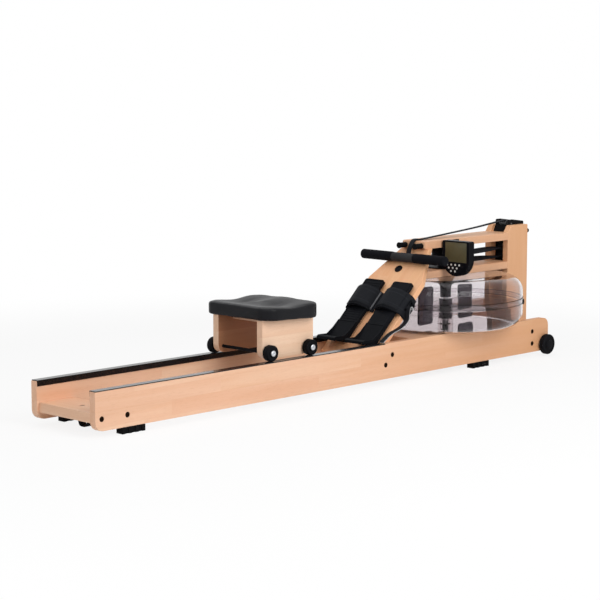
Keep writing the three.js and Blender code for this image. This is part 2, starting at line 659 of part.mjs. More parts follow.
function pulleySolid({ x, z, radius }) {
  const end = cheekOuter - fit;
  const hub = cheekInner - pulley.sideGap;
  const groove = webbing.width / 2 + fit + fit;
  const flange = groove + pulley.flangeThickness;
  const half = [
    [radius, groove], [radius + pulley.flange, groove], [radius + pulley.flange, flange],
    [pulley.hubRadius, flange], [pulley.hubRadius, hub], [pulley.pinRadius, hub], [pulley.pinRadius, end], [0, end],
  ];
  const profile = [...half.map(([r, y]) => [r, -y]).reverse(), ...half];
  return turnedSideways(profile, smallSides).translate([x, 0, z]);
}

piece("tower_bracket", bracketSolid(), blackSteel);
piece("top_roller", pulleySolid(topRoller), greyPlastic);
piece("front_pulley", pulleySolid(frontPulley), greyPlastic);
piece("lower_pulley", pulleySolid(lowerPulley), greyPlastic);
piece("recoil_pulley", pulleySolid(recoilPulley), greyPlastic);

// Drum: a flanged cone with one groove for the pull strap and one for the recoil strap
function drumSolid() {
  const bottom = lowerTop + drum.gap;
  const cone = (z) => drum.bottomRadius + ((drum.topRadius - drum.bottomRadius) * (z - bottom)) / (drum.top - bottom);
  const bore = shaft.radius + fit;
  return turned([
    [bore, bottom], [cone(bottom), bottom], [cone(drum.flangeTop), drum.flangeTop],
    [drum.recoilCore, drum.flangeTop], [drum.recoilCore, drum.midBottom],
    [cone(drum.midBottom), drum.midBottom], [cone(drum.midTop), drum.midTop],
    [drum.strapCore, drum.midTop], [drum.strapCore, drum.capBottom],
    [cone(drum.capBottom), drum.capBottom], [cone(drum.top), drum.top], [bore, drum.top], [bore, bottom],
  ], wheelSides).translate([tankX, 0, 0]);
}

piece("drum", drumSolid(), blackPlastic);

// A strap wound in a groove of the drum
function woundRing(core, radius, level) {
  const half = webbing.width / 2;
  const outer = radius + webbing.thickness / 2;
  const inner = (core + fit) / Math.cos(Math.PI / wheelSides);
  return turned([
    [inner, level - half], [outer, level - half], [outer, level + half], [inner, level + half], [inner, level - half],
  ], wheelSides).translate([tankX, 0, 0]);
}

// A run between a pulley in the tower and the drum, turning from flat to upright on the way
function twistedRun(from, side, radius, level, steps) {
  const end = vector(tankX, side * radius, level);
  const settled = tankX + drum.bottomRadius;
  return Array.from({ length: steps + 1 }, (_, i) => {
    const t = i / steps;
    const at = from.clone().lerp(end, t);
    const share = THREE.MathUtils.smoothstep(from.x - at.x, 0, from.x - settled);
    const angle = (share * Math.PI) / 2;
    return { at, across: vector(0, Math.cos(angle), Math.sin(angle)) };
  });
}

function drumStrapSolid() {
  const lift = webbing.thickness / 2 + fit;
  const over = topRoller.radius + lift;
  const round = frontPulley.radius + lift;
  const back = lowerPulley.radius + lift;
  const first = beltAngle(topRoller, over, frontPulley, round);
  const second = beltAngle(frontPulley, round, lowerPulley, back);
  const route = [
    ...wrap(topRoller, over, strapAngle, first, 3),
    ...wrap(frontPulley, round, first, second, 9),
    ...wrap(lowerPulley, back, second, -Math.PI / 2, 9),
    ...twistedRun(vector(lowerPulley.x - back, 0, lowerPulley.z - back), -1, drum.strapRadius, drum.strapLevel, 12),
  ];
  return swept(route, bandSection(webbing.width, webbing.thickness))
    .add(woundRing(drum.strapCore, drum.strapRadius, drum.strapLevel));
}

function recoilStrapSolid() {
  const lift = webbing.thickness / 2 + fit;
  const over = recoilPulley.radius + lift;
  const run = twistedRun(vector(recoilPulley.x - over, 0, recoilPulley.z + over), 1, drum.recoilRadius,
    drum.recoilLevel, 12);
  const face = crossBoardFront + lift;
  const fall = new THREE.CatmullRomCurve3([
    vector(recoilPulley.x + over, 0, recoilPulley.z),
    vector(recoilPulley.x + over, 0, (recoilPulley.z + crossBoardTop) / 2),
    vector(face + over, 0, crossBoardTop + over), vector(face + lift, 0, crossBoardTop - over),
    vector(face, 0, (crossBoardTop + crossBolt.low) / 2), vector(face, 0, crossBolt.low),
  ], false, "centripetal").getPoints(12).map((at) => ({ at, across: acrossY }));
  const route = [...run.reverse(), ...wrap(recoilPulley, over, Math.PI / 2, 0, 6), ...fall.slice(1)];
  return swept(route, bandSection(webbing.width, webbing.thickness))
    .add(woundRing(drum.recoilCore, drum.recoilRadius, drum.recoilLevel));
}

// The free strap from the handle to the top roller, resting on the end of the upper deck. It sags a
// little, by the shares of its length and of its rise.
const sagShares = [[0.352, 0.298], [0.639, 0.563], [0.818, 0.776]];
const strapStart = { x: apexX + apex.length / 2 + webbing.thickness / 2, z: deck.upperTop + webbing.thickness };
const strapTop = topRoller.z + topRoller.radius + webbing.thickness / 2 + fit;
const sagPoints = sagShares.map(([along, rise]) => [
  THREE.MathUtils.lerp(strapStart.x, topRoller.x, along), THREE.MathUtils.lerp(strapStart.z, strapTop, rise),
]);
const [lastX, lastZ] = sagPoints[sagPoints.length - 1];
const strapAngle = Math.PI / 2 + Math.atan2(strapTop - lastZ, topRoller.x - lastX);

function pullStrapSolid() {
  const over = topRoller.radius + webbing.thickness / 2 + fit;
  const last = vector(topRoller.x + over * Math.cos(strapAngle) - fit, 0, topRoller.z + over * Math.sin(strapAngle));
  const line = new THREE.CatmullRomCurve3([
    vector(strapStart.x, 0, strapStart.z), ...sagPoints.map(([x, z]) => vector(x, 0, z)), last,
  ]);
  const route = line.getSpacedPoints(16).map((at) => ({ at, across: acrossY }));
  return swept(route, bandSection(webbing.width, webbing.thickness));
}

piece("pull_strap", pullStrapSolid(), webbingBlack);
piece("drum_strap", drumStrapSolid(), webbingBlack);
piece("recoil_strap", recoilStrapSolid(), webbingBlack);

// Tank: a lower and an upper shell that meet at a seam, with a funnel round the shaft
function tankLowerSolid() {
  const { radius, wall, cornerRadius, seam } = tank;
  const corner = radius - cornerRadius;
  const bossTop = tankBottom + boss.height;
  const bore = shaft.radius + runFit;
  const path = new THREE.Path();
  path.moveTo(0, tankBottom);
  path.lineTo(corner, tankBottom);
  path.absarc(corner, tankBottom + cornerRadius, cornerRadius, -Math.PI / 2, 0, false);
  path.lineTo(radius, seam - fit / 2);
  path.lineTo(radius - wall, seam - fit / 2);
  path.lineTo(radius - wall, tankBottom + cornerRadius);
  path.absarc(corner, tankBottom + cornerRadius, cornerRadius - wall, 0, -Math.PI / 2, true);
  path.lineTo(boss.radius, tankBottom + wall);
  path.lineTo(boss.radius, bossTop);
  path.lineTo(bore, bossTop);
  path.lineTo(bore, tankBottom + boss.floor);
  path.lineTo(0, tankBottom + boss.floor);
  return turned(path.getPoints(3), tankSides).translate([tankX, 0, 0]);
}

function tankUpperSolid() {
  const { radius, wall, shoulderRadius, seam, top, flareRadius, neckRadius, neckBend, neckBottom } = tank;
  const shoulder = radius - shoulderRadius;
  const path = new THREE.Path();
  path.moveTo(radius, seam + fit / 2);
  path.lineTo(radius, top - shoulderRadius);
  path.absarc(shoulder, top - shoulderRadius, shoulderRadius, 0, Math.PI / 2, false);
  path.lineTo(flareRadius, top);
  path.quadraticCurveTo(neckRadius - wall, top, neckRadius - wall, neckBend);
  path.lineTo(neckRadius - wall, neckBottom);
  path.lineTo(neckRadius, neckBottom);
  path.lineTo(neckRadius, neckBend);
  path.quadraticCurveTo(neckRadius, top - wall, flareRadius, top - wall);
  path.lineTo(shoulder, top - wall);
  path.absarc(shoulder, top - shoulderRadius, shoulderRadius - wall, Math.PI / 2, 0, true);
  path.lineTo(radius - wall, seam + fit / 2);
  path.lineTo(radius, seam + fit / 2);
  const shell = turned(path.getPoints(3), tankSides).translate([tankX, 0, 0]);
  return shell.subtract(bar("z", plug.stemRadius + fit, top - wall - overrun, top + overrun, tankX, plug.offset, 0));
}

function tankBandSolid() {
  const inner = tank.radius + fit;
  const { bottom, top, thickness } = tankBand;
  const ring = turned([
    [inner, bottom], [inner + thickness, bottom], [inner + thickness, top], [inner, top], [inner, bottom],
  ], tankSides);
  const latch = box(inner, inner + clip.depth, -clip.width / 2, clip.width / 2, clip.bottom, clip.top)
    .rotate([0, 0, clip.azimuth]);
  return ring.add(latch).translate([tankX, 0, 0]);
}

function waterSolid() {
  const outer = tank.radius - tank.wall - fit;
  const inner = paddleOuter + water.sweepGap;
  const floor = tankBottom + tank.wall + fit;
  const corner = tank.radius - tank.cornerRadius;
  const bend = tank.cornerRadius - tank.wall - fit;
  const path = new THREE.Path();
  path.moveTo(water.floorInner, floor);
  path.lineTo(corner, floor);
  path.absarc(corner, floor + bend, bend, -Math.PI / 2, 0, false);
  path.lineTo(outer, water.level);
  path.lineTo(inner, water.level);
  path.lineTo(inner, water.floorTop);
  path.lineTo(water.floorInner, water.floorTop);
  path.lineTo(water.floorInner, floor);
  return turned(path.getPoints(3), tankSides).translate([tankX, 0, 0]);
}

piece("tank_lower", tankLowerSolid(), smokyClear);
piece("tank_upper", tankUpperSolid(), smokyClear);
piece("tank_band", tankBandSolid(), smokyClear);
piece("tank_water", waterSolid(), waterBlue);

function plugSolid() {
  const seat = tank.top + fit;
  const top = seat + plug.capHeight;
  const stem = turned([
    [0, tank.top - plug.stemDepth], [plug.stemRadius - fit, tank.top - plug.stemDepth], [plug.stemRadius - fit, seat],
    [plug.capRadius, seat], [plug.capRadius, top - plug.grip], [plug.capRadius - plug.grip, top], [0, top],
  ], smallSides + 4);
  const finger = box(-plug.capRadius + plug.grip, plug.capRadius - plug.grip, -plug.grip / 2, plug.grip / 2,
    top - fit, top + plug.grip);
  return stem.add(finger).translate([tankX, plug.offset, 0]);
}

piece("fill_plug", plugSolid(), blackPlastic);

// Paddle: a hub on the shaft, a web through it and two broad blades
function paddleSolid() {
  const { hubRadius, hubBottom, hubTop, webBottom, webTop, thickness, inner, bottom, top, cornerRadius } = paddle;
  const outer = paddleOuter;
  const half = thickness / 2;
  const hub = turned([[0, hubBottom], [hubRadius, hubBottom], [hubRadius, hubTop], [0, hubTop]], smallSides + 4);
  const web = box(-inner - cornerRadius, inner + cornerRadius, -half, half, webBottom, webTop);
  const blade = (side) =>
    sideCut([
      [side * inner, bottom, cornerRadius], [side * outer, bottom, cornerRadius],
      [side * outer, top, cornerRadius], [side * inner, top, cornerRadius],
    ], -half, half);
  const bore = bar("z", shaft.radius + runFit, hubBottom - overrun, hubTop + overrun, 0, 0, 0);
  return joined(hub, web, blade(1), blade(-1)).subtract(bore).rotate([0, 0, paddleTurn]).translate([tankX, 0, 0]);
}

piece("paddle", paddleSolid(), blackPlastic);
piece("paddle_shaft",
  bar("z", shaft.radius, tankBottom + boss.floor + fit, upperBottom + shaft.topSeat, tankX, 0, 0), steel);

// Monitor: a housing with a flat top and a round foot, clamped on the rod of its arm by two rings
const monitorFace = tankX - drum.bottomRadius - monitor.drumGap;
const monitorBack = monitorFace + monitor.depth;
const rodX = monitorBack + monitor.ringRadius;

function monitorOutline() {
  const half = monitor.width / 2;
  const { centreY, top, straight, cornerRadius } = monitor;
  const shape = new THREE.Shape();
  shape.moveTo(centreY + half, top - straight);
  shape.lineTo(centreY + half, top - cornerRadius);
  shape.absarc(centreY + half - cornerRadius, top - cornerRadius, cornerRadius, 0, Math.PI / 2, false);
  shape.lineTo(centreY - half + cornerRadius, top);
  shape.absarc(centreY - half + cornerRadius, top - cornerRadius, cornerRadius, Math.PI / 2, Math.PI, false);
  shape.lineTo(centreY - half, top - straight);
  shape.absarc(centreY, top - straight, half, Math.PI, 2 * Math.PI, false);
  return shape;
}

const screenTop = monitor.top - monitor.screenDrop;
const screenBottom = screenTop - monitor.screenHeight;
const screenHalf = monitor.screenWidth / 2;

function monitorSolid() {
  const { centreY, recess, ringRadius, ringWidth, ringOffset } = monitor;
  const face = monitorFace;
  let solid = endCut(monitorOutline(), face, monitorBack);
  solid = solid.subtract(box(face - overrun, face + recess, centreY - screenHalf, centreY + screenHalf,
    screenBottom, screenTop));
  keyRows.forEach((count, row) => {
    for (let i = 0; i < count; i += 1) {
      const y = centreY + (i - (count - 1) / 2) * keys.pitch;
      const z = monitor.top - keys.firstDrop - row * keys.rowStep;
      solid = solid.add(bar("x", keys.radius, face - keys.rise, face + keys.rise, 0, y, z, 8));
    }
  });
  for (const side of [-1, 1]) {
    const middle = centreY + side * ringOffset;
    const low = middle - ringWidth / 2;
    const high = middle + ringWidth / 2;
    const ear = box(monitorBack - fit, rodX, low, high, arm.z - ringRadius, arm.z + ringRadius);
    const ring = bar("y", ringRadius, low, high, rodX, 0, arm.z);
    const bore = bar("y", arm.rodRadius + runFit, low - overrun, high + overrun, rodX, 0, arm.z);
    solid = solid.add(ear).add(ring).subtract(bore);
  }
  return solid;
}

function armSolid() {
  const face = -upright.halfSpan - fit;
  const start = rodX - arm.rodRadius;
  const ledge = upperBottom + arm.edge;
  const head = deck.upperTop - arm.edge;
  const plate = sideCut([
    [start, arm.z - arm.rodRadius], [start + arm.tabWidth, arm.z - arm.rodRadius],
    [start + arm.tabWidth, ledge], [start + arm.footLength, ledge], [start + arm.footLength, head, arm.edge],
    [start, head, arm.edge],
  ], face - arm.plate, face);
  return plate.add(bar("y", arm.rodRadius, face - arm.plate - arm.rodEnd, face - arm.plate / 2, rodX, 0, arm.z));
}

piece("monitor_housing", monitorSolid(), blackPlastic);
piece("monitor_screen",
  box(monitorFace + fit, monitorFace + monitor.recess - fit, monitor.centreY - screenHalf + fit,
    monitor.centreY + screenHalf - fit, screenBottom + fit, screenTop - fit), olive);
piece("monitor_arm", armSolid(), blackPlastic);

// Handle: a core with a plain middle, two foam grips and a yoke that the strap pulls
function handleBarSolid() {
  const half = handle.length / 2 - grip.endCap;
  return turnedSideways([
    [0, -half], [handle.coreRadius, -half], [handle.coreRadius, -handle.centreHalf],
    [handle.centreRadius, -handle.centreHalf], [handle.centreRadius, handle.centreHalf],
    [handle.coreRadius, handle.centreHalf], [handle.coreRadius, half], [0, half],
  ], smallSides + 4).translate([handleX, 0, handle.z]);
}

function gripSolid() {
  const end = handle.length / 2;
  const bore = handle.coreRadius + fit;
  const seat = end - grip.endCap + fit;
  return turnedSideways([
    [bore, -grip.inner], [handle.gripRadius - grip.crown, -grip.inner], [handle.gripRadius, -grip.inner - grip.crown],
    [handle.gripRadius, -end + grip.crown], [handle.gripRadius - grip.crown, -end], [0, -end], [0, -seat],
    [bore, -seat], [bore, -grip.inner],
  ], smallSides + 4).translate([handleX, 0, handle.z]);
}

const collarMiddle = collar.inner + collar.width / 2;
// The cord's route beside a peg, from the end of the deck, the middle and the floor
const legRoute = [[12, 6, 445], [-4, 12, 444.8], [-10.5, 20, 433], [-16, 23, 415], [-26, 38, 402.5]];

function yokeSolid() {
  const bore = handle.coreRadius + fit;
  const { z, length, width, thickness } = apex;
  let solid = box(apexX - length / 2, apexX + length / 2, -width / 2, width / 2, z - thickness / 2, z + thickness / 2);
  for (const side of [-1, 1]) {
    const lift = collar.radius / Math.SQRT2;
    const last = vector(handleX + lift, side * collarMiddle, handle.z + lift);
    const line = new THREE.CatmullRomCurve3([...legRoute.map(([a, b, c]) => vector(deckStart + a, side * b, c)), last]);
    const route = line.getSpacedPoints(14).map((at) => ({ at, across: acrossY }));
    const ring = turnedSideways([
      [bore, collar.inner], [collar.radius, collar.inner], [collar.radius, collar.inner + collar.width],
      [bore, collar.inner + collar.width], [bore, collar.inner],
    ], smallSides + 4).translate([handleX, 0, handle.z]);
    solid = solid.add(swept(route, roundSection(leg.radius, leg.sides))).add(mirrored(ring, -side));
  }
  return solid;
}

piece("handle_bar", handleBarSolid(), greyPlastic);
for (const [name, side] of sides) {
  piece(`${name}_grip`, mirrored(gripSolid(), side), foam);
}
piece("handle_yoke", yokeSolid(), webbingBlack);

// Two pegs on the end of the upper deck, over which the handle is parked
function restSolid() {
  const face = deckStart - fit;
  const pegFoot = face - rest.plate;
  const plate = box(pegFoot, face, -upright.halfSpan + rest.plateDrop, upright.halfSpan - rest.plateDrop,
    upperBottom + rest.plateDrop, deck.upperTop - rest.plateDrop);
  const pegs = [-rest.pegY, rest.pegY].flatMap((y) => [
    bar("x", rest.pegRadius, pegFoot - rest.pegLength, face - fit, 0, y, rest.pegZ, smallSides),
    bar("x", rest.knobRadius, pegFoot - rest.pegLength - fit, pegFoot - rest.pegLength + rest.knob, 0, y, rest.pegZ),
  ]);
  return joined(plate, ...pegs);
}

piece("handle_rest", restSolid(), blackPlastic);

// Seat: a moulded pad on a sloping base between two side panels
const seatBottom = (x) =>
  seat.rearBottom + ((seat.frontBottom - seat.rearBottom) * (x - seatX + seat.length / 2)) / seat.length;

// The pad's top: two hollows beside a ridge, a notch for the tailbone and a rim that dips at the sides
function seatTop(x, y) {
  const along = (2 * (x - seatX)) / seat.length;
  const across = (2 * y) / seat.width;
  const hollow = Math.exp(-(((along + 0.1) / 0.55) ** 2) - ((Math.abs(across) - 0.45) / 0.3) ** 2);
  const ridge = Math.exp(-((across / 0.28) ** 2)) * THREE.MathUtils.smoothstep(along, -0.3, 0.8);
  const notch = Math.exp(-((across / 0.2) ** 2)) * THREE.MathUtils.smoothstep(-along, 0.35, 1);
  const dip = Math.exp(-((along / 0.5) ** 2)) * THREE.MathUtils.smoothstep(Math.abs(across), 0.6, 1);
  return seat.top + seatForm.rim - seatForm.bowl * hollow + (seatForm.ridge - seatForm.rim) * ridge
    - seatForm.notch * notch - seatForm.dip * dip;
}

function seatPadSolid() {
  const rim = outline([
    [-seat.length / 2, -seat.width / 2, seat.cornerRadius], [seat.length / 2, -seat.width / 2, seat.cornerRadius],
    [seat.length / 2, seat.width / 2, seat.cornerRadius], [-seat.length / 2, seat.width / 2, seat.cornerRadius],
  ]).getSpacedPoints(48).slice(0, 48);
  const positions = [];
  const index = [];
  const rings = [];
  const addRing = (share, height) => {
    const first = positions.length / 3;
    for (const p of rim) {
      const x = seatX + p.x * share;
      const y = p.y * share;
      positions.push(x, y, height(x, y));
    }
    rings.push(first);
  };
  const tuck = 1 - (2 * seatForm.sideTuck) / seat.length;
  const crown = (drop) => (x, y) => seatTop(x, y) - drop;
  addRing(tuck, (x) => seatBottom(x));
  addRing(1, (x) => seatBottom(x) + seatForm.sideTuck);
  addRing(1, crown(seatForm.bow));
  addRing(tuck, crown(seatForm.bow / 4));
  for (const share of [0.9, 0.78, 0.64, 0.5, 0.34, 0.18]) {
    addRing(share, crown(0));
  }
  const count = rim.length;
  for (let i = 0; i + 1 < rings.length; i += 1) {
    for (let j = 0; j < count; j += 1) {
      const k = (j + 1) % count;
      index.push(rings[i] + j, rings[i] + k, rings[i + 1] + k, rings[i] + j, rings[i + 1] + k, rings[i + 1] + j);
    }
  }
  const close = (first, height, flip) => {
    const centre = positions.length / 3;
    positions.push(seatX, 0, height);
    for (let j = 0; j < count; j += 1) {
      const k = (j + 1) % count;
      index.push(centre, first + (flip ? k : j), first + (flip ? j : k));
    }
  };
  close(rings[0], seatBottom(seatX), true);
  close(rings[rings.length - 1], seatTop(seatX, 0), false);
  const geometry = new THREE.BufferGeometry();
  geometry.setAttribute("position", new THREE.Float32BufferAttribute(positions, 3));
  geometry.setIndex(index);
  return toSolid(geometry);
}

const carriageBottom = railTop + carriage.gap;
const rollerZ = railTop + fit + roller.radius;
const axlePlaces = [["rear", carriageStart + roller.rearInset], ["front", carriageEnd - roller.frontInset]];

function seatSideSolid() {
  const { halfSpan, thickness, cornerRadius } = carriage;
  const start = carriageStart;
  let panel = sideCut([
    [start, carriageBottom, cornerRadius], [carriageEnd, carriageBottom, cornerRadius],
    [carriageEnd, seatBottom(carriageEnd) - fit], [start, seatBottom(start) - fit],
  ], -halfSpan, -halfSpan + thickness);
  for (const [, x] of axlePlaces) {
    const bore = axle.radius + fit;
    panel = panel.subtract(bar("y", bore, -halfSpan - overrun, -halfSpan + thickness + overrun, x, 0, rollerZ));
  }
  return panel;
}

function seatBaseSolid() {
  const half = carriage.halfSpan - carriage.thickness - fit;
  const { baseThickness } = carriage;
  const start = carriageStart;
  return sideCut([
    [start, seatBottom(start) - fit], [start, seatBottom(start) - fit - baseThickness],
    [carriageEnd, seatBottom(carriageEnd) - fit - baseThickness], [carriageEnd, seatBottom(carriageEnd) - fit],
  ], -half, half);
}

const rollerInner = carriage.halfSpan + roller.gap;
const rollerOuter = rollerInner + roller.width;

// An axle with a head outside each roller and a shoulder between roller and panel
function seatAxleSolid(x) {
  const head = rollerOuter + fit;
  const end = head + axle.head;
  const shoulder = carriage.halfSpan + fit;
  const { radius, headRadius } = axle;
  const half = [
    [radius, shoulder], [headRadius, shoulder], [headRadius, rollerInner - fit], [radius, rollerInner - fit],
    [radius, head], [headRadius, head], [headRadius, end - fit], [headRadius - axle.head / 2, end], [0, end],
  ];
  return turnedSideways([...half.map(([r, y]) => [r, -y]).reverse(), ...half], smallSides).translate([x, 0, rollerZ]);
}

function rollerSolid(x) {
  const { radius, rimChamfer } = roller;
  const bore = axle.radius + runFit;
  return turnedSideways([
    [bore, -rollerInner], [radius - rimChamfer, -rollerInner], [radius, -rollerInner - rimChamfer],
    [radius, -rollerOuter + rimChamfer], [radius - rimChamfer, -rollerOuter], [bore, -rollerOuter],
    [bore, -rollerInner],
  ], wheelSides).translate([x, 0, rollerZ]);
}

piece("seat_pad", seatPadSolid(), padBlack);
piece("seat_base", seatBaseSolid(), paleAsh);
for (const [name, side] of sides) {
  piece(`${name}_seat_side`, mirrored(seatSideSolid(), side), paleAsh);
  for (const [end, x] of axlePlaces) {
    piece(`${end}_${name}_roller`, mirrored(rollerSolid(x), side), blackRubber);
  }
}
for (const [end, x] of axlePlaces) {
  piece(`${end}_seat_axle`, seatAxleSolid(x), steel);
}

// Transport wheels at the front, each turning on its own pin in the rail
function transportWheelSolid() {
  const railFace = rail.span / 2;
  const inner = railFace + wheel.gap;
  const outer = inner + wheel.width;
  const pinEnd = railFace - rail.thickness + fit;
  const { radius, pinRadius, capRadius, capRise, chamfer: edge } = wheel;
  return turnedSideways([
    [0, -pinEnd], [pinRadius, -pinEnd], [pinRadius, -railFace - fit], [capRadius, -railFace - fit],
    [capRadius, -inner], [radius - edge, -inner], [radius, -inner - edge], [radius, -outer + edge],
    [radius - edge, -outer], [capRadius + capRise, -outer], [capRadius, -outer + capRise / 2],
    [capRadius - capRise, -outer - capRise], [0, -outer - capRise - fit],
  ], wheelSides).translate([wheelX, 0, wheel.z]);
}

for (const [name, side] of sides) {
  piece(`${name}_wheel`, mirrored(transportWheelSolid(), side), blackPlastic);
}

export default machine;
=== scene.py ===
import json
import math

import bmesh
import bpy
from mathutils import Matrix, Vector


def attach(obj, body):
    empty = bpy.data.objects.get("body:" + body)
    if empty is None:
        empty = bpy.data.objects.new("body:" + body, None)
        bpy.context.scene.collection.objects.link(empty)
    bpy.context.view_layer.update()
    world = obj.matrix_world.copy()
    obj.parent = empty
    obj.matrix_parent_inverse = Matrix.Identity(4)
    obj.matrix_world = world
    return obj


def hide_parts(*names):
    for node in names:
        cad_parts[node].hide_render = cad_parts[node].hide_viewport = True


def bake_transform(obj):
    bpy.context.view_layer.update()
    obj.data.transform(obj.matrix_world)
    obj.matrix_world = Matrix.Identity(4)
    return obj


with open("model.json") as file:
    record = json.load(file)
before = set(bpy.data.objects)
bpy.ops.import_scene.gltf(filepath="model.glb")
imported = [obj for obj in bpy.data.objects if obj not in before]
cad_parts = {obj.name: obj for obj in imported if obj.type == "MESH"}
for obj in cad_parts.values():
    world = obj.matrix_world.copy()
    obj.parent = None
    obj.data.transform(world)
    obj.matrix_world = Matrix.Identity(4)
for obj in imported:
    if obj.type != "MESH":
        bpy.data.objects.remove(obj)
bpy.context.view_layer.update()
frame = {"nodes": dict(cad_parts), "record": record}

record = frame["record"]
bodyOf = {node: body for body, nodes in record["behaviour"]["bodies"].items() for node in nodes}
print("frame loaded:", len(frame["nodes"]), "nodes")

# Places: rail sizes are in millimetres from the rails' rear end, the slope's along and out of the footboard
railCentre = 1057
slope = {"angle": math.radians(43.6), "x": 1243, "z": 138}
climb = Vector((math.cos(slope["angle"]), 0, math.sin(slope["angle"])))
facing = Vector((-math.sin(slope["angle"]), 0, math.cos(slope["angle"])))
sides = (("near", -1), ("far", 1))


def onRail(x, y, z):
    return Vector((x - railCentre, y, z)) / 1000


def onSlope(u, y, n):
    return onRail(slope["x"], y, slope["z"]) + (climb * u + facing * n) / 1000


# Camera, fitted to the edges of the rails and the uprights and to the feet

view = {
    "place": (-4.3661, -4.1629, 1.0723), "turn": (82.54, 0, -45.79), "lens": 112.75, "clipEnd": 60,
}


def addCamera():
    data = bpy.data.cameras.new("studioCamera")
    data.lens = view["lens"]
    data.clip_end = view["clipEnd"]
    camera = bpy.data.objects.new("studioCamera", data)
    camera.location = view["place"]
    camera.rotation_euler = [math.radians(angle) for angle in view["turn"]]
    bpy.context.scene.collection.objects.link(camera)
    bpy.context.scene.camera = camera


addCamera()
print("camera placed")


# Materials

class Wire:  # one output of a node; sums and products of wires add Math nodes
    def __init__(self, recipe, socket):
        self.recipe = recipe
        self.socket = socket

    def pick(self, name):
        return Wire(self.recipe, self.socket.node.outputs[name])

    def __add__(self, other):
        return self.recipe.math("ADD", self, other)

    def __mul__(self, other):
        return self.recipe.math("MULTIPLY", self, other)

    def __sub__(self, other):
        return self.recipe.math("SUBTRACT", self, other)

    def __rsub__(self, other):
        return self.recipe.math("SUBTRACT", other, self)

    def __gt__(self, other):
        return self.recipe.math("GREATER_THAN", self, other)

    __radd__ = __add__
    __rmul__ = __mul__


class Recipe:  # the nodes of a material or of the world
    def __init__(self, owner, surface=None, shader="Principled BSDF"):
        owner.use_nodes = True
        self.owner = owner
        self.tree = owner.node_tree
        self.shader = self.tree.nodes[shader]
        for socket, value in (surface or {}).items():
            self.shader.inputs[socket].default_value = value

    def add(self, kind, settings=None, inputs=None, output=0):
        node = self.tree.nodes.new(kind)
        for name, value in (settings or {}).items():
            setattr(node, name, value)
        for name, value in (inputs or {}).items():
            self.feed(node.inputs[name], value)
        return Wire(self, node.outputs[output])

    def feed(self, socket, value):
        if isinstance(value, Wire):
            self.tree.links.new(value.socket, socket)
        else:
            socket.default_value = value

    def math(self, operation, first, second=0.0):
        return self.add("ShaderNodeMath", {"operation": operation}, {0: first, 1: second})

    def blend(self, factor, first, second):
        colours = [value if isinstance(value, Wire) else (*value, 1) for value in (first, second)]
        return self.add(
            "ShaderNodeMix", {"data_type": "RGBA", "clamp_factor": True},
            {0: factor, 6: colours[0], 7: colours[1]}, 2)

    def place(self, turn=(0, 0, 0), shift=(0, 0, 0)):
        spot = self.add("ShaderNodeTexCoord").pick("Object")
        return self.add("ShaderNodeMapping", None, {"Vector": spot, "Rotation": turn, "Location": shift})

    def spread(self, value, low, high):  # 0 at low and 1 at high
        return self.add("ShaderNodeMapRange", None, {"Value": value, "From Min": low, "From Max": high})

    def noise(self, spot, scale, detail=2.0, roughness=0.5):
        return self.add(
            "ShaderNodeTexNoise", None,
            {"Vector": spot, "Scale": scale, "Detail": detail, "Roughness": roughness})

    def finish(self, colour, roughness, height, strength, depth):
        bump = self.add("ShaderNodeBump", None, {"Height": height, "Strength": strength, "Distance": depth})
        for socket, value in (("Base Color", colour), ("Roughness", roughness), ("Normal", bump)):
            self.feed(self.shader.inputs[socket], value)
        return self.owner


def seen(red, green, blue):  # a colour as it looks on a screen, made linear
    return tuple((value / 255) ** 2.2 for value in (red, green, blue))


def makeWood(name, look, turn=(0, 0, 0), across="Z"):
    make = Recipe(bpy.data.materials.new(name))
    spot = make.place(turn, look["shift"])
    axes = make.add("ShaderNodeSeparateXYZ", None, {"Vector": spot})
    along, crossing = axes.pick("X"), axes.pick(across)
    row = crossing * (1 / look["stave"])
    stave = make.math("FLOOR", row)
    tone = make.add("ShaderNodeTexWhiteNoise", {"noise_dimensions": "1D"}, {"W": stave})
    joint = make.math("FLOOR", along * (1 / look["block"]) + tone * look["stagger"])
    block = make.add("ShaderNodeCombineXYZ", None, {"X": stave, "Y": joint})
    shade = make.add("ShaderNodeTexWhiteNoise", {"noise_dimensions": "2D"}, {"Vector": block})
    tint = shade.pick("Color")
    drift = make.add("ShaderNodeVectorMath", {"operation": "SCALE"}, {"Vector": tint, "Scale": look["drift"]})
    grainSpot = make.add("ShaderNodeVectorMath", {"operation": "ADD"}, {0: spot, 1: drift})
    stretched = make.add("ShaderNodeMapping", None, {"Vector": grainSpot, "Scale": look["stretch"]})
    figure = make.noise(stretched, *look["figure"])
    dense = make.add("ShaderNodeMapping", None, {"Vector": grainSpot, "Scale": look["pores"]})
    fine = make.noise(dense, *look["fine"])
    edge = make.math("ABSOLUTE", make.math("FRACT", row) - 0.5) > look["seam"]
    colour = make.blend(make.spread(figure, *look["contrast"]), look["light"], look["dark"])
    colour = make.blend(shade * look["variety"], colour, look["rosy"])
    colour = make.blend((fine > look["poreLevel"]) * look["poreShare"], colour, look["pore"])
    colour = make.blend(edge * look["seamShare"], colour, look["pore"])
    ahead = make.add("ShaderNodeSeparateXYZ", None, {"Vector": make.place()}).pick("X")
    warm = make.spread(ahead, *look["paintedShadeSpan"])
    colour = make.blend(warm * look["warmth"], colour, look["warm"])  # painted shade, the boards darker and redder toward the front of the machine
    ofFigure, ofPores, ofSeams = look["relief"]
    height = figure * ofFigure + fine * ofPores - edge * ofSeams
    rough = fine * look["roughPores"] + look["rough"]
    return make.finish(colour, rough, height, look["bump"], look["depth"])


moulding = {"grain": (2.0, 0.6), "worn": (3.0, 0.6), "contrast": (0.35, 0.7), "share": 0.5}


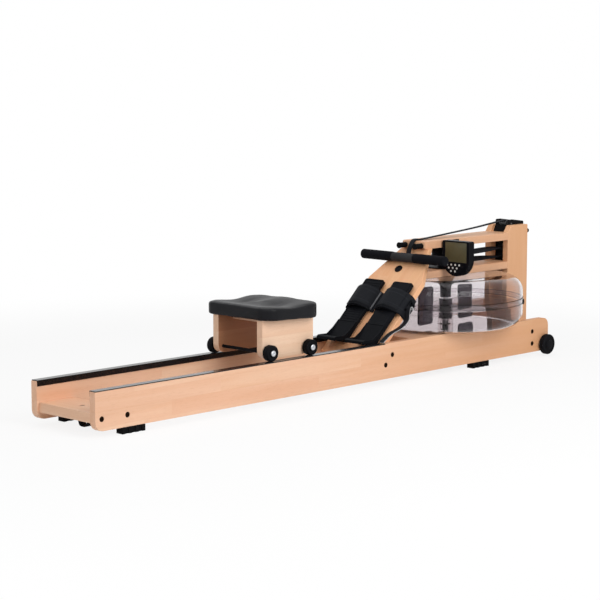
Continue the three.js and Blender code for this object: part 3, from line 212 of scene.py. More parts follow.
def makeMoulded(name, colour, paler, rough, grain, bump, surface=None, patch=14, drift=0.12, depth=0.0003):
    make = Recipe(bpy.data.materials.new(name), surface)
    spot = make.place()
    fine = make.noise(spot, grain, *moulding["grain"])
    worn = make.noise(spot, patch, *moulding["worn"])
    patches = make.spread(worn, *moulding["contrast"]) * moulding["share"]
    shade = make.blend(patches, seen(*colour), seen(*paler))
    return make.finish(shade, worn * drift + rough, fine, bump, depth)


def makeWebbing(name, look):
    make = Recipe(bpy.data.materials.new(name), {"Specular IOR Level": look["specular"]})
    uv = make.add("ShaderNodeUVMap", {"uv_map": "weave"})
    axes = make.add("ShaderNodeSeparateXYZ", None, {"Vector": uv})
    along, crossing = axes.pick("X"), axes.pick("Y")
    warp = make.math("SINE", crossing * (2 * math.pi / look["warp"]))
    weft = make.math("SINE", along * (2 * math.pi / look["weft"]))
    weave = warp * weft * 0.5 + 0.5
    inset = make.math("ABSOLUTE", make.math("ABSOLUTE", crossing) - (look["width"] / 2 - look["hem"]))
    thread = make.math("LESS_THAN", inset, look["thread"]) * (weft + look["stitchGap"] > 0)
    fibre = make.noise(make.place(), look["fibre"])
    colour = make.blend(
        weave * look["weaveShare"] + fibre * look["fibreShare"], look["colour"], look["paler"])
    colour = make.blend(thread * look["stitchShare"], colour, look["stitch"])
    height = weave + fibre * look["fibreRise"] + thread * look["stitchRise"]
    rough = fibre * look["roughFibre"] + look["rough"]
    return make.finish(colour, rough, height, look["bump"], look["depth"])


# The first three entries set a painted shade that makes the boards darker and redder toward the front
woodLook = {
    "warm": seen(222, 160, 106), "warmth": 0.66, "paintedShadeSpan": (-0.2, 1.05),
    "light": seen(240, 199, 168), "dark": seen(228, 178, 142), "rosy": seen(229, 175, 143),
    "pore": seen(192, 138, 104), "variety": 0.55, "stave": 0.044, "block": 0.62, "seam": 0.484,
    "stagger": 5.0, "drift": 3.0, "stretch": (0.55, 9.0, 9.0), "figure": (3.0, 5.0, 0.62),
    "contrast": (0.36, 0.66), "pores": (6.0, 90.0, 90.0), "fine": (8.0, 3.0), "poreLevel": 0.6,
    "poreShare": 0.14, "seamShare": 0.1, "rough": 0.42, "roughPores": 0.14, "relief": (0.4, 0.5, 0.6),
    "bump": 0.12, "depth": 0.0004, "shift": (0.31, 0.07, 0.013),
}
paleLook = dict(
    woodLook, warmth=0.0, light=seen(245, 212, 184), dark=seen(234, 194, 160), rosy=seen(236, 192, 162),
    shift=(0.11, 0.02, 0.031), stave=0.06)
railWood = makeWood("railWood", woodLook)
deckWood = makeWood("deckWood", dict(woodLook, warmth=0.5, shift=(0.7, 0.019, 0.0)), across="Y")
crossWood = makeWood("crossWood", dict(woodLook, shift=(0.2, 0.4, 0.0)), (0, 0, math.radians(-90)), "Y")
uprightWood = makeWood("uprightWood", dict(woodLook, shift=(0.5, 0.1, 0.008)), (0, math.radians(90), 0))
slopeWood = makeWood("slopeWood", dict(
    woodLook, warmth=0.3, light=seen(249, 197, 152), dark=seen(238, 175, 128), rosy=seen(240, 175, 134),
    shift=(0.9, 0.01, 0.3)), (0, slope["angle"], 0), "Y")
paleWood = makeWood("paleWood", paleLook)
# painted shade: a darker copy of the seat's wood for the inner faces of its side boards
innerShadeWood = makeWood("innerShadeWood", dict(
    paleLook, light=seen(188, 138, 104), dark=seen(170, 120, 86), rosy=seen(172, 118, 88)))


def gloss(level):
    return {"Specular IOR Level": level}


dim = gloss(0.03)  # keeps the blacks as deep as they are written

# Each has its colour and its paler patches as seen, its roughness, grain and bump
blackPlastic = makeMoulded("blackPlastic", (24, 25, 28), (36, 37, 41), 0.34, 900, 0.12, dim)
trackPlastic = makeMoulded("trackPlastic", (20, 21, 24), (32, 33, 36), 0.1, 900, 0.03, gloss(0.35))
glossyBlack = makeMoulded("glossyBlack", (22, 22, 25), (32, 32, 36), 0.2, 500, 0.04, dim)
boltBlack = makeMoulded("boltBlack", (34, 24, 18), (46, 34, 27), 0.4, 900, 0.1, dim)
footRubber = makeMoulded("footRubber", (24, 24, 25), (36, 36, 37), 0.62, 500, 0.2, dim)
rollerRubber = makeMoulded("rollerRubber", (24, 24, 26), (36, 36, 39), 0.4, 700, 0.08, dim)
gripFoam = makeMoulded("gripFoam", (25, 25, 28), (36, 37, 41), 0.62, 1100, 0.3, dim)
greyNylon = makeMoulded("greyNylon", (70, 71, 74), (90, 91, 95), 0.4, 600, 0.08)
handleGrey = makeMoulded("handleGrey", (52, 52, 53), (66, 66, 67), 0.36, 700, 0.08, dim)
seatSkin = makeMoulded("seatSkin", (23, 23, 26), (32, 32, 36), 0.34, 650, 0.2, gloss(0.14), patch=9)
blackSteel = makeMoulded("blackSteel", (24, 24, 26), (34, 34, 37), 0.38, 1400, 0.16, dim)
boltSteel = makeMoulded("boltSteel", (196, 198, 202), (224, 225, 228), 0.24, 900, 0.05, {"Metallic": 1.0})
keyWhite = makeMoulded("keyWhite", (214, 214, 210), (232, 232, 228), 0.4, 900, 0.05)
screenOlive = makeMoulded("screenOlive", (76, 72, 50), (90, 86, 62), 0.3, 2600, 0.03, {"Coat Weight": 0.15})
smokedBlade = makeMoulded(
    "smokedBlade", (74, 69, 77), (90, 84, 92), 0.12, 120, 0.05,
    {"Transmission Weight": 0.85, "IOR": 1.3, "Specular IOR Level": 0.3})
clearTank = makeMoulded(
    "clearTank", (235, 231, 233), (241, 238, 239), 0, 8, 0.05,
    {"Transmission Weight": 1.0, "IOR": 1.22}, drift=0.03, depth=0.002)
stillWater = makeMoulded(
    "stillWater", (222, 216, 216), (230, 225, 225), 0, 22, 0.06,
    {"Transmission Weight": 1.0, "IOR": 1.03, "Specular IOR Level": 0.5}, drift=0.01, depth=0.002)
webbingLook = {
    "colour": seen(20, 21, 24), "paler": seen(34, 36, 41), "stitch": seen(58, 60, 66), "warp": 0.0024,
    "weft": 0.0032, "hem": 0.0035, "thread": 0.0005, "stitchGap": 0.25, "width": 0.05, "fibre": 420.0,
    "weaveShare": 0.5, "fibreShare": 0.3, "stitchShare": 0.7, "fibreRise": 0.4, "stitchRise": 0.8,
    "rough": 0.68, "roughFibre": 0.2, "bump": 0.5, "depth": 0.0004, "specular": 0.15,
}
tailLook = dict(webbingLook, width=0.02, hem=0.002, thread=0.0003)
toeWebbing = makeWebbing("toeWebbing", webbingLook)
beltWebbing = makeWebbing("beltWebbing", dict(tailLook, width=0.019))
tailWebbing = makeWebbing("tailWebbing", tailLook)
palerWebbing = makeWebbing("palerWebbing", dict(
    tailLook, colour=seen(168, 168, 170), paler=seen(196, 196, 198)))
print("materials made")


# Shared making steps

def camel(name):
    first, *rest = name.split("_")
    return first + "".join(word.capitalize() for word in rest)


def addPiece(name, bm, finish, body, stands=(), crease=32):
    bmesh.ops.recalc_face_normals(bm, faces=bm.faces)
    mesh = bpy.data.meshes.new(name)
    bm.to_mesh(mesh)
    bm.free()
    mesh.materials.append(finish)
    mesh.shade_smooth()
    mesh.set_sharp_from_angle(angle=math.radians(crease))
    piece = bpy.data.objects.new(name, mesh)
    bpy.context.scene.collection.objects.link(piece)
    if body:
        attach(piece, body)
    if stands:
        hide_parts(*stands)
    return piece


def joinInto(whole, part):  # adds one bmesh to another
    mesh = bpy.data.meshes.new("part")
    part.to_mesh(mesh)
    part.free()
    whole.from_mesh(mesh)
    bpy.data.meshes.remove(mesh)


def vertsOf(geom):
    return [item for item in geom if isinstance(item, bmesh.types.BMVert)]


def turnForm(bm, angle, axis="Z", centre=(0, 0, 0)):
    bmesh.ops.rotate(bm, cent=centre, matrix=Matrix.Rotation(angle, 3, axis), verts=bm.verts)


def paintFaces(piece, finish, chosen):  # gives the chosen faces a second finish
    piece.data.materials.append(finish)
    for face in piece.data.polygons:
        if chosen(face):
            face.material_index = 1


def giveWall(piece, thickness):
    wall = piece.modifiers.new("wall", "SOLIDIFY")
    wall.thickness = thickness / 1000
    wall.offset = 0
    return wall


def softEdges(piece, width, segments=2, angle=32):
    soft = piece.modifiers.new("softEdges", "BEVEL")
    soft.width = width / 1000
    soft.segments = segments
    soft.limit_method = "ANGLE"
    soft.angle_limit = math.radians(angle)
    soft.harden_normals = True
    return piece


def copyOfNode(node):
    bm = bmesh.new()
    bm.from_mesh(frame["nodes"][node].data)
    bmesh.ops.remove_doubles(bm, verts=bm.verts, dist=1e-5)
    bmesh.ops.dissolve_limit(bm, angle_limit=math.radians(0.6), verts=bm.verts, edges=bm.edges)
    return bm


def dressNode(node, finish, edge, segments=2):
    piece = addPiece(camel(node), copyOfNode(node), finish, bodyOf[node], (node,))
    return softEdges(piece, edge, segments)


def settle(piece):  # keeps what the modifiers made
    graph = bpy.context.evaluated_depsgraph_get()
    kept = bpy.data.meshes.new_from_object(
        piece.evaluated_get(graph), preserve_all_data_layers=True, depsgraph=graph)
    piece.modifiers.clear()
    piece.data = kept
    return piece


def arc(centre, height, radius, start, end, steps):  # profile points on an arc, angles in degrees
    angles = [math.radians(start + (end - start) * i / steps) for i in range(steps + 1)]
    return [(centre + radius * math.cos(a), height + radius * math.sin(a)) for a in angles]


def turnedForm(profile, axis, centre, steps=64, closed=False):  # (radius, height) points spun about an axis
    along = {"x": Vector((1, 0, 0)), "y": Vector((0, 1, 0)), "z": Vector((0, 0, 1))}[axis]
    outward = Vector((0, 1, 0)) if axis == "z" else Vector((0, 0, 1))
    bm = bmesh.new()
    verts = [bm.verts.new(centre + (outward * r + along * h) / 1000) for r, h in profile]
    pairs = list(zip(verts, verts[1:])) + ([(verts[-1], verts[0])] if closed else [])
    edges = [bm.edges.new(pair) for pair in pairs]
    bmesh.ops.spin(
        bm, geom=verts + edges, cent=centre, axis=along, angle=2 * math.pi, steps=steps, use_merge=True)
    bmesh.ops.remove_doubles(bm, verts=bm.verts, dist=1e-6)
    return bm


def blockForm(low, high):
    bm = bmesh.new()
    bmesh.ops.create_cube(bm, size=1)
    bmesh.ops.scale(bm, vec=high - low, verts=bm.verts)
    bmesh.ops.translate(bm, vec=(low + high) / 2, verts=bm.verts)
    return bm


def smoothRoute(points, perSpan):  # a smooth line through points
    line = []
    last = len(points) - 1
    for i in range(last):
        a, b, c, d = points[max(i - 1, 0)], points[i], points[i + 1], points[min(i + 2, last)]
        for step in range(perSpan):
            t = step / perSpan
            square, cube = 2 * a - 5 * b + 4 * c - d, 3 * b - a - 3 * c + d
            line.append(0.5 * (2 * b + (c - a) * t + square * t ** 2 + cube * t ** 3))
    return line + [points[last]]


def ribbonForm(route, across, width, columns=2):  # a flat band on a route, its width laid across it
    if isinstance(across, Vector):
        across = [across] * len(route)
    travelled = [0.0]
    for here, there in zip(route, route[1:]):
        travelled.append(travelled[-1] + (there - here).length)
    bm = bmesh.new()
    weave = bm.loops.layers.uv.new("weave")
    bmesh.ops.create_grid(bm, x_segments=len(route) - 1, y_segments=columns, size=0.5)
    stations = sorted({round(vert.co.x, 5) for vert in bm.verts})
    spots = {}
    for vert in bm.verts:
        step = stations.index(round(vert.co.x, 5))
        spots[vert] = (travelled[step], vert.co.y * width / 1000)
        vert.co = route[step] + across[step].normalized() * vert.co.y * width / 1000
    for face in bm.faces:
        for loop in face.loops:
            loop[weave].uv = spots[loop.vert]
    return bm


def addRibbon(name, route, across, width, thickness, finish, body, stands=(), columns=2):
    bm = ribbonForm(route, across, width, columns)
    piece = addPiece(name, bm, finish, body, stands, crease=60)
    giveWall(piece, thickness)
    return settle(piece)


def arcRoute(centre, radius, start, end, steps):  # points round a pulley, angles from forward to up
    angles = [start + (end - start) * i / steps for i in range(steps + 1)]
    return [centre + Vector((math.cos(a), 0, math.sin(a))) * radius / 1000 for a in angles]


# Frame boards, tracks and feet

for node in ("near_rail", "far_rail"):
    dressNode(node, railWood, 1.4, 3)
for node in ("rear_cross_board", "front_cross_board", "footboard_cleat"):
    dressNode(node, crossWood, 1.2)
for node in ("upper_deck", "lower_deck", "tank_base_board"):
    dressNode(node, deckWood, 1.6, 3)
for node in ("near_upright", "far_upright"):
    dressNode(node, uprightWood, 1.6, 3)
dressNode("footboard", slopeWood, 1.6, 3)
for node in ("near_track", "far_track"):
    dressNode(node, trackPlastic, 0.5)

feet = {"starts": {"rear": 71, "front": 1647}, "trim": 27}


def addFeet():  # each foot's rear end is trimmed to the length that shows
    for end, start in feet["starts"].items():
        for name, _ in sides:
            node = f"{end}_{name}_foot"
            bm = copyOfNode(node)
            bmesh.ops.bisect_plane(
                bm, geom=bm.verts[:] + bm.edges[:] + bm.faces[:], dist=1e-6,
                plane_co=onRail(start + feet["trim"], 0, 0), plane_no=(1, 0, 0), clear_inner=True)
            bmesh.ops.holes_fill(bm, edges=[edge for edge in bm.edges if edge.is_boundary], sides=0)
            softEdges(addPiece(camel(node), bm, footRubber, "frame", (node,)), 0.8)


addFeet()
print("frame dressed")

bolts = {
    "places": [(24, 54.5), (119, 54.5), (1225.4, 63.9), (1257.8, 94.7), (2008, 50), (2008, 93.5)],
    "face": 144, "depth": 7, "radius": 8.3, "round": 1.6, "rise": 6.4, "socket": 3.4, "socketDepth": 2.6,
}


def addBolts():
    low = bolts["face"] - bolts["depth"]
    high = low + bolts["rise"]
    radius, rounding, floor = bolts["radius"], bolts["round"], high - bolts["socketDepth"]
    head = [
        (0, floor), (bolts["socket"], floor), (bolts["socket"], high),
        *arc(radius - rounding, high - rounding, rounding, 90, 0, 4), (radius, low), (0, low)]
    for name, side in sides:
        whole = bmesh.new()
        for x, z in bolts["places"]:
            joinInto(whole, turnedForm([(r, side * h) for r, h in head], "y", onRail(x, 0, z), 24))
        addPiece(f"{name}Bolts", whole, boltBlack, "frame")


addBolts()

lifting = {"near": -5, "far": -48, "x": 62.5, "head": 40.7, "bottom": 13, "width": 25, "thickness": 2.4}


def addPullLoop():
    head, bottom = lifting["head"], lifting["bottom"]
    near, far, thick = lifting["near"], lifting["far"], lifting["thickness"]
    waist = (head + bottom) / 2
    points = [
        onRail(lifting["x"], y, z) for y, z in (
            (near, head - 1.4), (near - thick, waist), (near - 4 * thick, bottom + thick),
            (far + 4 * thick, bottom + thick), (far + thick, waist), (far, head - 1.4))]
    addRibbon(
        "rearPullLoop", smoothRoute(points, 8), Vector((1, 0, 0)), lifting["width"], thick, tailWebbing,
        "frame", ("rear_pull_loop",))


addPullLoop()

# painted shade: a black liner that darkens the hole in the rear board
holeShadeSleeve = {"x": 71.5, "outer": 6.9, "bore": 5.6, "flange": 9.6, "bottom": 41.4, "seat": 66.4, "top": 67.6}


def addHoleShadeSleeve():  # a black liner in the rear board's hole, painted shade that darkens the hole
    size = holeShadeSleeve
    profile = [
        (size["bore"], size["bottom"]), (size["outer"], size["bottom"]), (size["outer"], size["seat"] - 1.3),
        (size["flange"], size["top"] - 0.4), (size["flange"], size["top"]), (size["bore"], size["top"])]
    form = turnedForm(profile, "z", onRail(size["x"], 0, 0), 32, closed=True)
    addPiece("rearHoleShadeSleeve", form, blackPlastic, "frame")


addHoleShadeSleeve()


# Tower: bracket, pulleys and straps

pulleys = {
    "top_roller": (2027, 469, 12), "front_pulley": (2074, 451, 16), "lower_pulley": (2066, 404.3, 16),
    "recoil_pulley": (2060, 341.7, 10),
}
pulleyForm = {"groove": 10.1, "flange": 12.6, "rise": 3, "hub": 7, "hubEnd": 23.6, "pin": 4.5, "pinEnd": 28.5}


def addPulleys():
    size = pulleyForm
    hub, hubEnd, pin, pinEnd = size["hub"], size["hubEnd"], size["pin"], size["pinEnd"]
    for node, (x, z, radius) in pulleys.items():
        rim = radius + size["rise"]
        half = [
            (radius, 0), (radius, size["groove"]), (rim, size["groove"] + 0.8), (rim, size["flange"]),
            (hub, size["flange"]), (hub, hubEnd), (pin, hubEnd), (pin, pinEnd), (0, pinEnd)]
        profile = [(r, -h) for r, h in reversed(half[1:])] + half
        body = bodyOf[node]
        bm = turnedForm(profile, "y", onRail(x, 0, z), 48)
        softEdges(addPiece(camel(node), bm, greyNylon, body, (node,)), 0.4)


dressNode("tower_bracket", blackSteel, 0.7)
addPulleys()

strapSize = {"width": 19, "thickness": 1.8, "lift": 1.3, "settled": 79}
tankX = 1697
coils = {  # what is wound on the drum, each with the side of the drum where its strap comes off
    "drum": {"level": 387, "side": -50, "core": 43.6, "outer": 49.6, "turns": 3, "start": 270, "way": -1},
    "recoil": {"level": 353, "side": 30, "core": 21.4, "outer": 29.6, "turns": 4, "start": 90, "way": 1},
}
recoilFall = [(2071.3, 228), (2033.9, 126.3), (2024, 103.7), (2021.4, 82), (2021.4, 50)]


def beltAngle(first, firstRadius, second, secondRadius):
    gap = second - first
    distance = math.hypot(gap.x, gap.z) * 1000
    return math.atan2(gap.z, gap.x) + math.acos((firstRadius - secondRadius) / distance)


def spiralRoute(coil, stepsPerTurn=36):  # a strap wound on the drum
    steps = coil["turns"] * stepsPerTurn
    route = []
    for i in range(steps + 1):
        angle = math.radians(coil["start"] - coil["way"] * 360 * coil["turns"] * (1 - i / steps))
        radius = coil["core"] + (coil["outer"] - coil["core"]) * i / steps
        route.append(onRail(tankX + radius * math.cos(angle), radius * math.sin(angle), coil["level"]))
    return route


def twistedRun(start, end, settled, steps):  # flat at the pulley, upright where it meets the drum
    route, across = [], []
    for i in range(steps + 1):
        spot = start.lerp(end, i / steps)
        share = min(max((start.x - spot.x) / (start.x - settled), 0), 1)
        angle = share * share * (3 - 2 * share) * math.pi / 2
        route.append(spot)
        across.append(Vector((0, math.cos(angle), math.sin(angle))))
    return route, across


def addDrumStraps():
    lift = strapSize["lift"]
    places = {node: (onRail(x, 0, z), radius + lift) for node, (x, z, radius) in pulleys.items()}
    (top, over), (front, around), (lower, back) = (
        places[node] for node in ("top_roller", "front_pulley", "lower_pulley"))
    first = beltAngle(top, over, front, around)
    second = beltAngle(front, around, lower, back)
    settled = onRail(tankX + strapSize["settled"], 0, 0).x
    side = Vector((0, 1, 0))
    upwards = Vector((0, 0, 1))

    route = arcRoute(top, over, math.radians(95), first, 8) + arcRoute(front, around, first, second, 16)
    route += arcRoute(lower, back, second, -math.pi / 2, 16)
    across = [side] * len(route)
    wound = coils["drum"]
    meets = onRail(tankX, wound["side"], wound["level"])
    run, lean = twistedRun(lower + Vector((-back, 0, -back)) / 1000, meets, settled, 30)
    coil = spiralRoute(wound)
    route += run + coil[::-1][1:]
    across += lean + [upwards] * (len(coil) - 1)
    addRibbon(
        "drumStrap", route, across, strapSize["width"], strapSize["thickness"], beltWebbing, "frame",
        ("drum_strap",))

    recoil, radius = places["recoil_pulley"]
    leaves = recoil + Vector((radius, 0, 0)) / 1000
    fall = smoothRoute([leaves, *(onRail(x, 0, z) for x, z in recoilFall)], 6)
    wound = coils["recoil"]
    meets = onRail(tankX, wound["side"], wound["level"])
    run, lean = twistedRun(recoil + Vector((-radius, 0, radius)) / 1000, meets, settled, 30)
    coil = spiralRoute(wound)
    bend = arcRoute(recoil, radius, math.pi / 2, 0, 10)
    route = coil[:-1] + run[::-1] + bend + fall[1:]
    across = [upwards] * (len(coil) - 1) + lean[::-1] + [side] * (len(bend) + len(fall) - 1)
    addRibbon(
        "recoilStrap", route, across, strapSize["width"], strapSize["thickness"], beltWebbing, "frame",
        ("recoil_strap",))


addDrumStraps()

pullStrap = {  # the sag is in shares of the way along and up
    "start": (1550, 443.5), "sag": [(0.352, 0.298), (0.639, 0.563), (0.818, 0.776)], "end": (2025.4, 482.3),
}


def addPullStrap():
    (x0, z0), (x1, z1) = pullStrap["start"], pullStrap["end"]
    points = [onRail(x0, 0, z0)]
    points += [onRail(x0 + (x1 - x0) * a, 0, z0 + (z1 - z0) * b) for a, b in pullStrap["sag"]]
    points.append(onRail(x1, 0, z1))
    piece = addRibbon(
        "pullStrap", smoothRoute(points, 16), Vector((0, 1, 0)), strapSize["width"], strapSize["thickness"],
        beltWebbing, None, ("pull_strap",))
    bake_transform(piece)


addPullStrap()

bumper = {"x": 2092, "y": -42.6, "z": 442, "radius": 8, "rise": 12, "round": 4, "sunk": 0.5}


def addBumper():
    radius, rise, rounding, foot = bumper["radius"], bumper["rise"], bumper["round"], -bumper["sunk"]
    form = [
        (0, foot), (radius, foot), *arc(radius - rounding, rise - rounding, rounding, 0, 90, 6), (0, rise)]
    bm = turnedForm(form, "x", onRail(bumper["x"], bumper["y"], bumper["z"]), 40)
    addPiece("towerBumper", bm, footRubber, "frame")


addBumper()
print("tower made")


# Tank, water, drum and paddle

tank = {
    "radius": 267.4, "wall": 4, "bottom": 136.3, "top": 314, "shoulder": 56, "corner": 49, "seam": 228.5,
    "flare": 62, "neck": 19, "bend": 262, "neckBottom": 234, "boss": 17, "bossTop": 154.3, "bore": 10.45,
    "floor": 141.3, "seamGap": 0.15, "smoked": 56,
}


def quarter(start, middle, end, steps):  # profile points on a bent corner
    points = []
    for i in range(steps + 1):
        t = i / steps
        points.append(tuple(
            (1 - t) ** 2 * a + 2 * t * (1 - t) * b + t * t * c for a, b, c in zip(start, middle, end)))
    return points


def addTank():
    size = tank
    centre = onRail(tankX, 0, 0)
    outer, wall, bottom, top = size["radius"], size["wall"], size["bottom"], size["top"]
    bend = size["corner"]
    below, above = size["seam"] - size["seamGap"], size["seam"] + size["seamGap"]
    lower = [
        (0, bottom), *arc(outer - bend, bottom + bend, bend, -90, 0, 12), (outer, below),
        (outer - wall, below), *arc(outer - bend, bottom + bend, bend - wall, 0, -90, 12),
        (size["boss"], bottom + wall), (size["boss"], size["bossTop"]), (size["bore"], size["bossTop"]),
        (size["bore"], size["floor"]), (0, size["floor"])]
    addPiece("tankLower", turnedForm(lower, "z", centre, 128), clearTank, "frame", ("tank_lower",), crease=40)

    rounding, flare, neck, low = size["shoulder"], size["flare"], size["neck"], size["bend"]
    shoulder, base = outer - rounding, top - rounding
    upper = [
        (outer, above), *arc(shoulder, base, rounding, 0, 90, 14),
        *quarter((flare, top), (neck - wall, top), (neck - wall, low), 12),
        (neck - wall, size["neckBottom"]), (neck, size["neckBottom"]),
        *quarter((neck, low), (neck, top - wall), (flare, top - wall), 12),
        *arc(shoulder, base, rounding - wall, 90, 0, 14), (outer - wall, above)]
    bm = turnedForm(upper, "z", centre, 128, closed=True)
    piece = addPiece("tankUpper", bm, clearTank, "frame", ("tank_upper",), crease=40)
    paintFaces(piece, smokedBlade, lambda face: math.hypot(
        face.center.x - centre.x, face.center.y) * 1000 < size["smoked"])


addTank()

band = {
    "bottom": 219, "top": 238, "gap": 0.3, "thickness": 1.3, "rim": 1.3, "step": 0.5, "latchTurn": -53.5,
    "latch": [(-0.2, 4, 8, 213, 231), (3.4, 5.2, 5.5, 218, 226)],  # each from, to, half width, bottom and top
}


def addBand():
    size = band
    centre = onRail(tankX, 0, 0)
    inner = tank["radius"] + size["gap"]
    outer = inner + size["thickness"]
    hoopOuter = outer - size["step"]
    low, high, rim = size["bottom"], size["top"], size["rim"]
    hoop = [(inner, low + rim), (hoopOuter, low + rim), (hoopOuter, high - rim), (inner, high - rim)]
    addPiece("tankBand", turnedForm(hoop, "z", centre, 128, closed=True), clearTank, "frame", ("tank_band",))
    for name, z in (("Low", low), ("High", high - rim)):
        ring = [(inner, z), (outer, z), (outer, z + rim), (inner, z + rim)]
        bm = turnedForm(ring, "z", centre, 128, closed=True)
        addPiece(f"bandRim{name}", bm, footRubber, "frame")
    latch = bmesh.new()
    for near, far, half, bottom, top in size["latch"]:
        joinInto(latch, blockForm(
            Vector((inner + near, -half, bottom)) / 1000, Vector((inner + far, half, top)) / 1000))
    turnForm(latch, math.radians(size["latchTurn"]))
    bmesh.ops.translate(latch, vec=centre, verts=latch.verts)
    softEdges(addPiece("bandLatch", latch, blackPlastic, "frame"), 0.8)


addBand()

waterForm = {"level": 215, "gap": 0.3, "hub": 26}


def addWater():
    size = tank
    outer = size["radius"] - size["wall"] - waterForm["gap"]
    floor = size["bottom"] + size["wall"] + waterForm["gap"]
    corner = size["radius"] - size["corner"]
    bend = size["corner"] - size["wall"] - waterForm["gap"]
    form = [
        (waterForm["hub"], floor), *arc(corner, floor + bend, bend, -90, 0, 12),
        *arc(outer - 1.2, waterForm["level"] - 1.2, 1.2, 0, 90, 3), (waterForm["hub"], waterForm["level"])]
    bm = turnedForm(form, "z", onRail(tankX, 0, 0), 128, closed=True)
    addPiece("tankWater", bm, stillWater, "frame", ("tank_water",), crease=40)


addWater()

plug = {"y": 120, "seat": 314.3, "cap": 20, "rise": 8, "stem": 13.7, "depth": 7, "grip": 5}


def addPlug():
    cap, sill, stem, grip = plug["cap"], plug["seat"], plug["stem"], plug["grip"]
    top, low = sill + plug["rise"], sill - plug["depth"] - 0.3
    centre = onRail(tankX, plug["y"], 0)
    form = [
        (0, low), (stem, low), (stem, sill), (cap, sill), *arc(cap - 4, top - 4, 4, 0, 90, 5), (0, top)]
    piece = addPiece("fillPlug", turnedForm(form, "z", centre, 48), blackPlastic, "plug", ("fill_plug",))
    softEdges(piece, 0.6)
    finger = blockForm(
        centre + Vector((grip - cap, -grip / 2, top - 1)) / 1000,
        centre + Vector((cap - grip, grip / 2, top + grip)) / 1000)
    softEdges(addPiece("plugFinger", finger, blackPlastic, "plug"), 1.8, 4)


addPlug()

drum = {
    "bottom": 339.6, "bottomRadius": 79, "top": 412, "topRadius": 57.5, "levels": [343, 363, 376.8, 397.2],
    "bore": 10.3, "cores": (19.7, 41.7),
}


def addDrum():
    size = drum
    slant = (size["topRadius"] - size["bottomRadius"]) / (size["top"] - size["bottom"])

    def cone(z):
        return (size["bottomRadius"] + slant * (z - size["bottom"]), z)

    low, middle, upper, cap = size["levels"]
    recoilCore, strapCore = size["cores"]
    bore, top, rim = size["bore"], size["top"], size["topRadius"]
    form = [
        (bore, size["bottom"]), cone(size["bottom"]), cone(low), (recoilCore, low), (recoilCore, middle),
        cone(middle), cone(upper), (strapCore, upper), (strapCore, cap), cone(cap), cone(top),
        (rim - 6, top), (rim - 7, top - 1.5), (24, top - 1.5), (23, top), (bore, top)]
    bm = turnedForm(form, "z", onRail(tankX, 0, 0), 96, closed=True)
    softEdges(addPiece("drum", bm, blackPlastic, "drum", ("drum",)), 0.8)


addDrum()

paddle = {"solidTurn": -46, "turn": 5, "hub": 25, "inner": 77}  # turned to where the photograph has caught it


def addPaddle():
    size = paddle
    hubSpot = onRail(tankX, 0, 0)
    bm = copyOfNode("paddle")
    turnForm(bm, math.radians(-size["solidTurn"]), centre=hubSpot)
    for side in (-1, 1):
        bmesh.ops.bisect_plane(
            bm, geom=bm.verts[:] + bm.edges[:] + bm.faces[:], dist=1e-6,
            plane_co=hubSpot + Vector((side * size["inner"] / 1000, 0, 0)), plane_no=(1, 0, 0))
    turnForm(bm, math.radians(size["turn"]), centre=hubSpot)
    piece = addPiece("paddle", bm, smokedBlade, "paddle", ("paddle",))
    paintFaces(piece, clearTank, lambda face: size["hub"] < math.hypot(
        face.center.x - hubSpot.x, face.center.y) * 1000 < size["inner"] - 1)
    softEdges(piece, 1.6, 3)


addPaddle()

shaft = {"radius": 10, "bottom": 141.6, "top": 425, "chamfer": 0.8}


def addShaft():
    radius, low, high, chamfer = (shaft[key] for key in ("radius", "bottom", "top", "chamfer"))
    form = [
        (0, low), (radius - chamfer, low), (radius, low + chamfer), (radius, high - chamfer),
        (radius - chamfer, high), (0, high)]
    bm = turnedForm(form, "z", onRail(tankX, 0, 0), 48)
    addPiece("paddleShaft", bm, boltSteel, "paddle", ("paddle_shaft",))


addShaft()
print("tank made")


# Footboard: plates, cups, straps and the plain cap

def ontoSlope(bm):  # from (along, across, out) in metres to the footboard's surface
    origin = onSlope(0, 0, 0)
    place = Matrix([
        (climb.x, 0, facing.x, origin.x), (0, 1, 0, 0), (climb.z, 0, facing.z, origin.z), (0, 0, 0, 1)])
    bmesh.ops.transform(bm, matrix=place, verts=bm.verts)
    return bm


plate = {
    "low": -30, "high": 237, "inner": 22, "outer": 105, "corner": 7, "top": 20, "skirt": 8.5, "base": 0.3,
    "drawnIn": 13, "rim": 4, "rimSlope": 0.8, "hollow": 2, "ribs": 17, "ribsFrom": 92, "ribsTo": 16,
    "ribWidth": 2.4, "ribRise": 1.1, "ribEnd": 8,
}


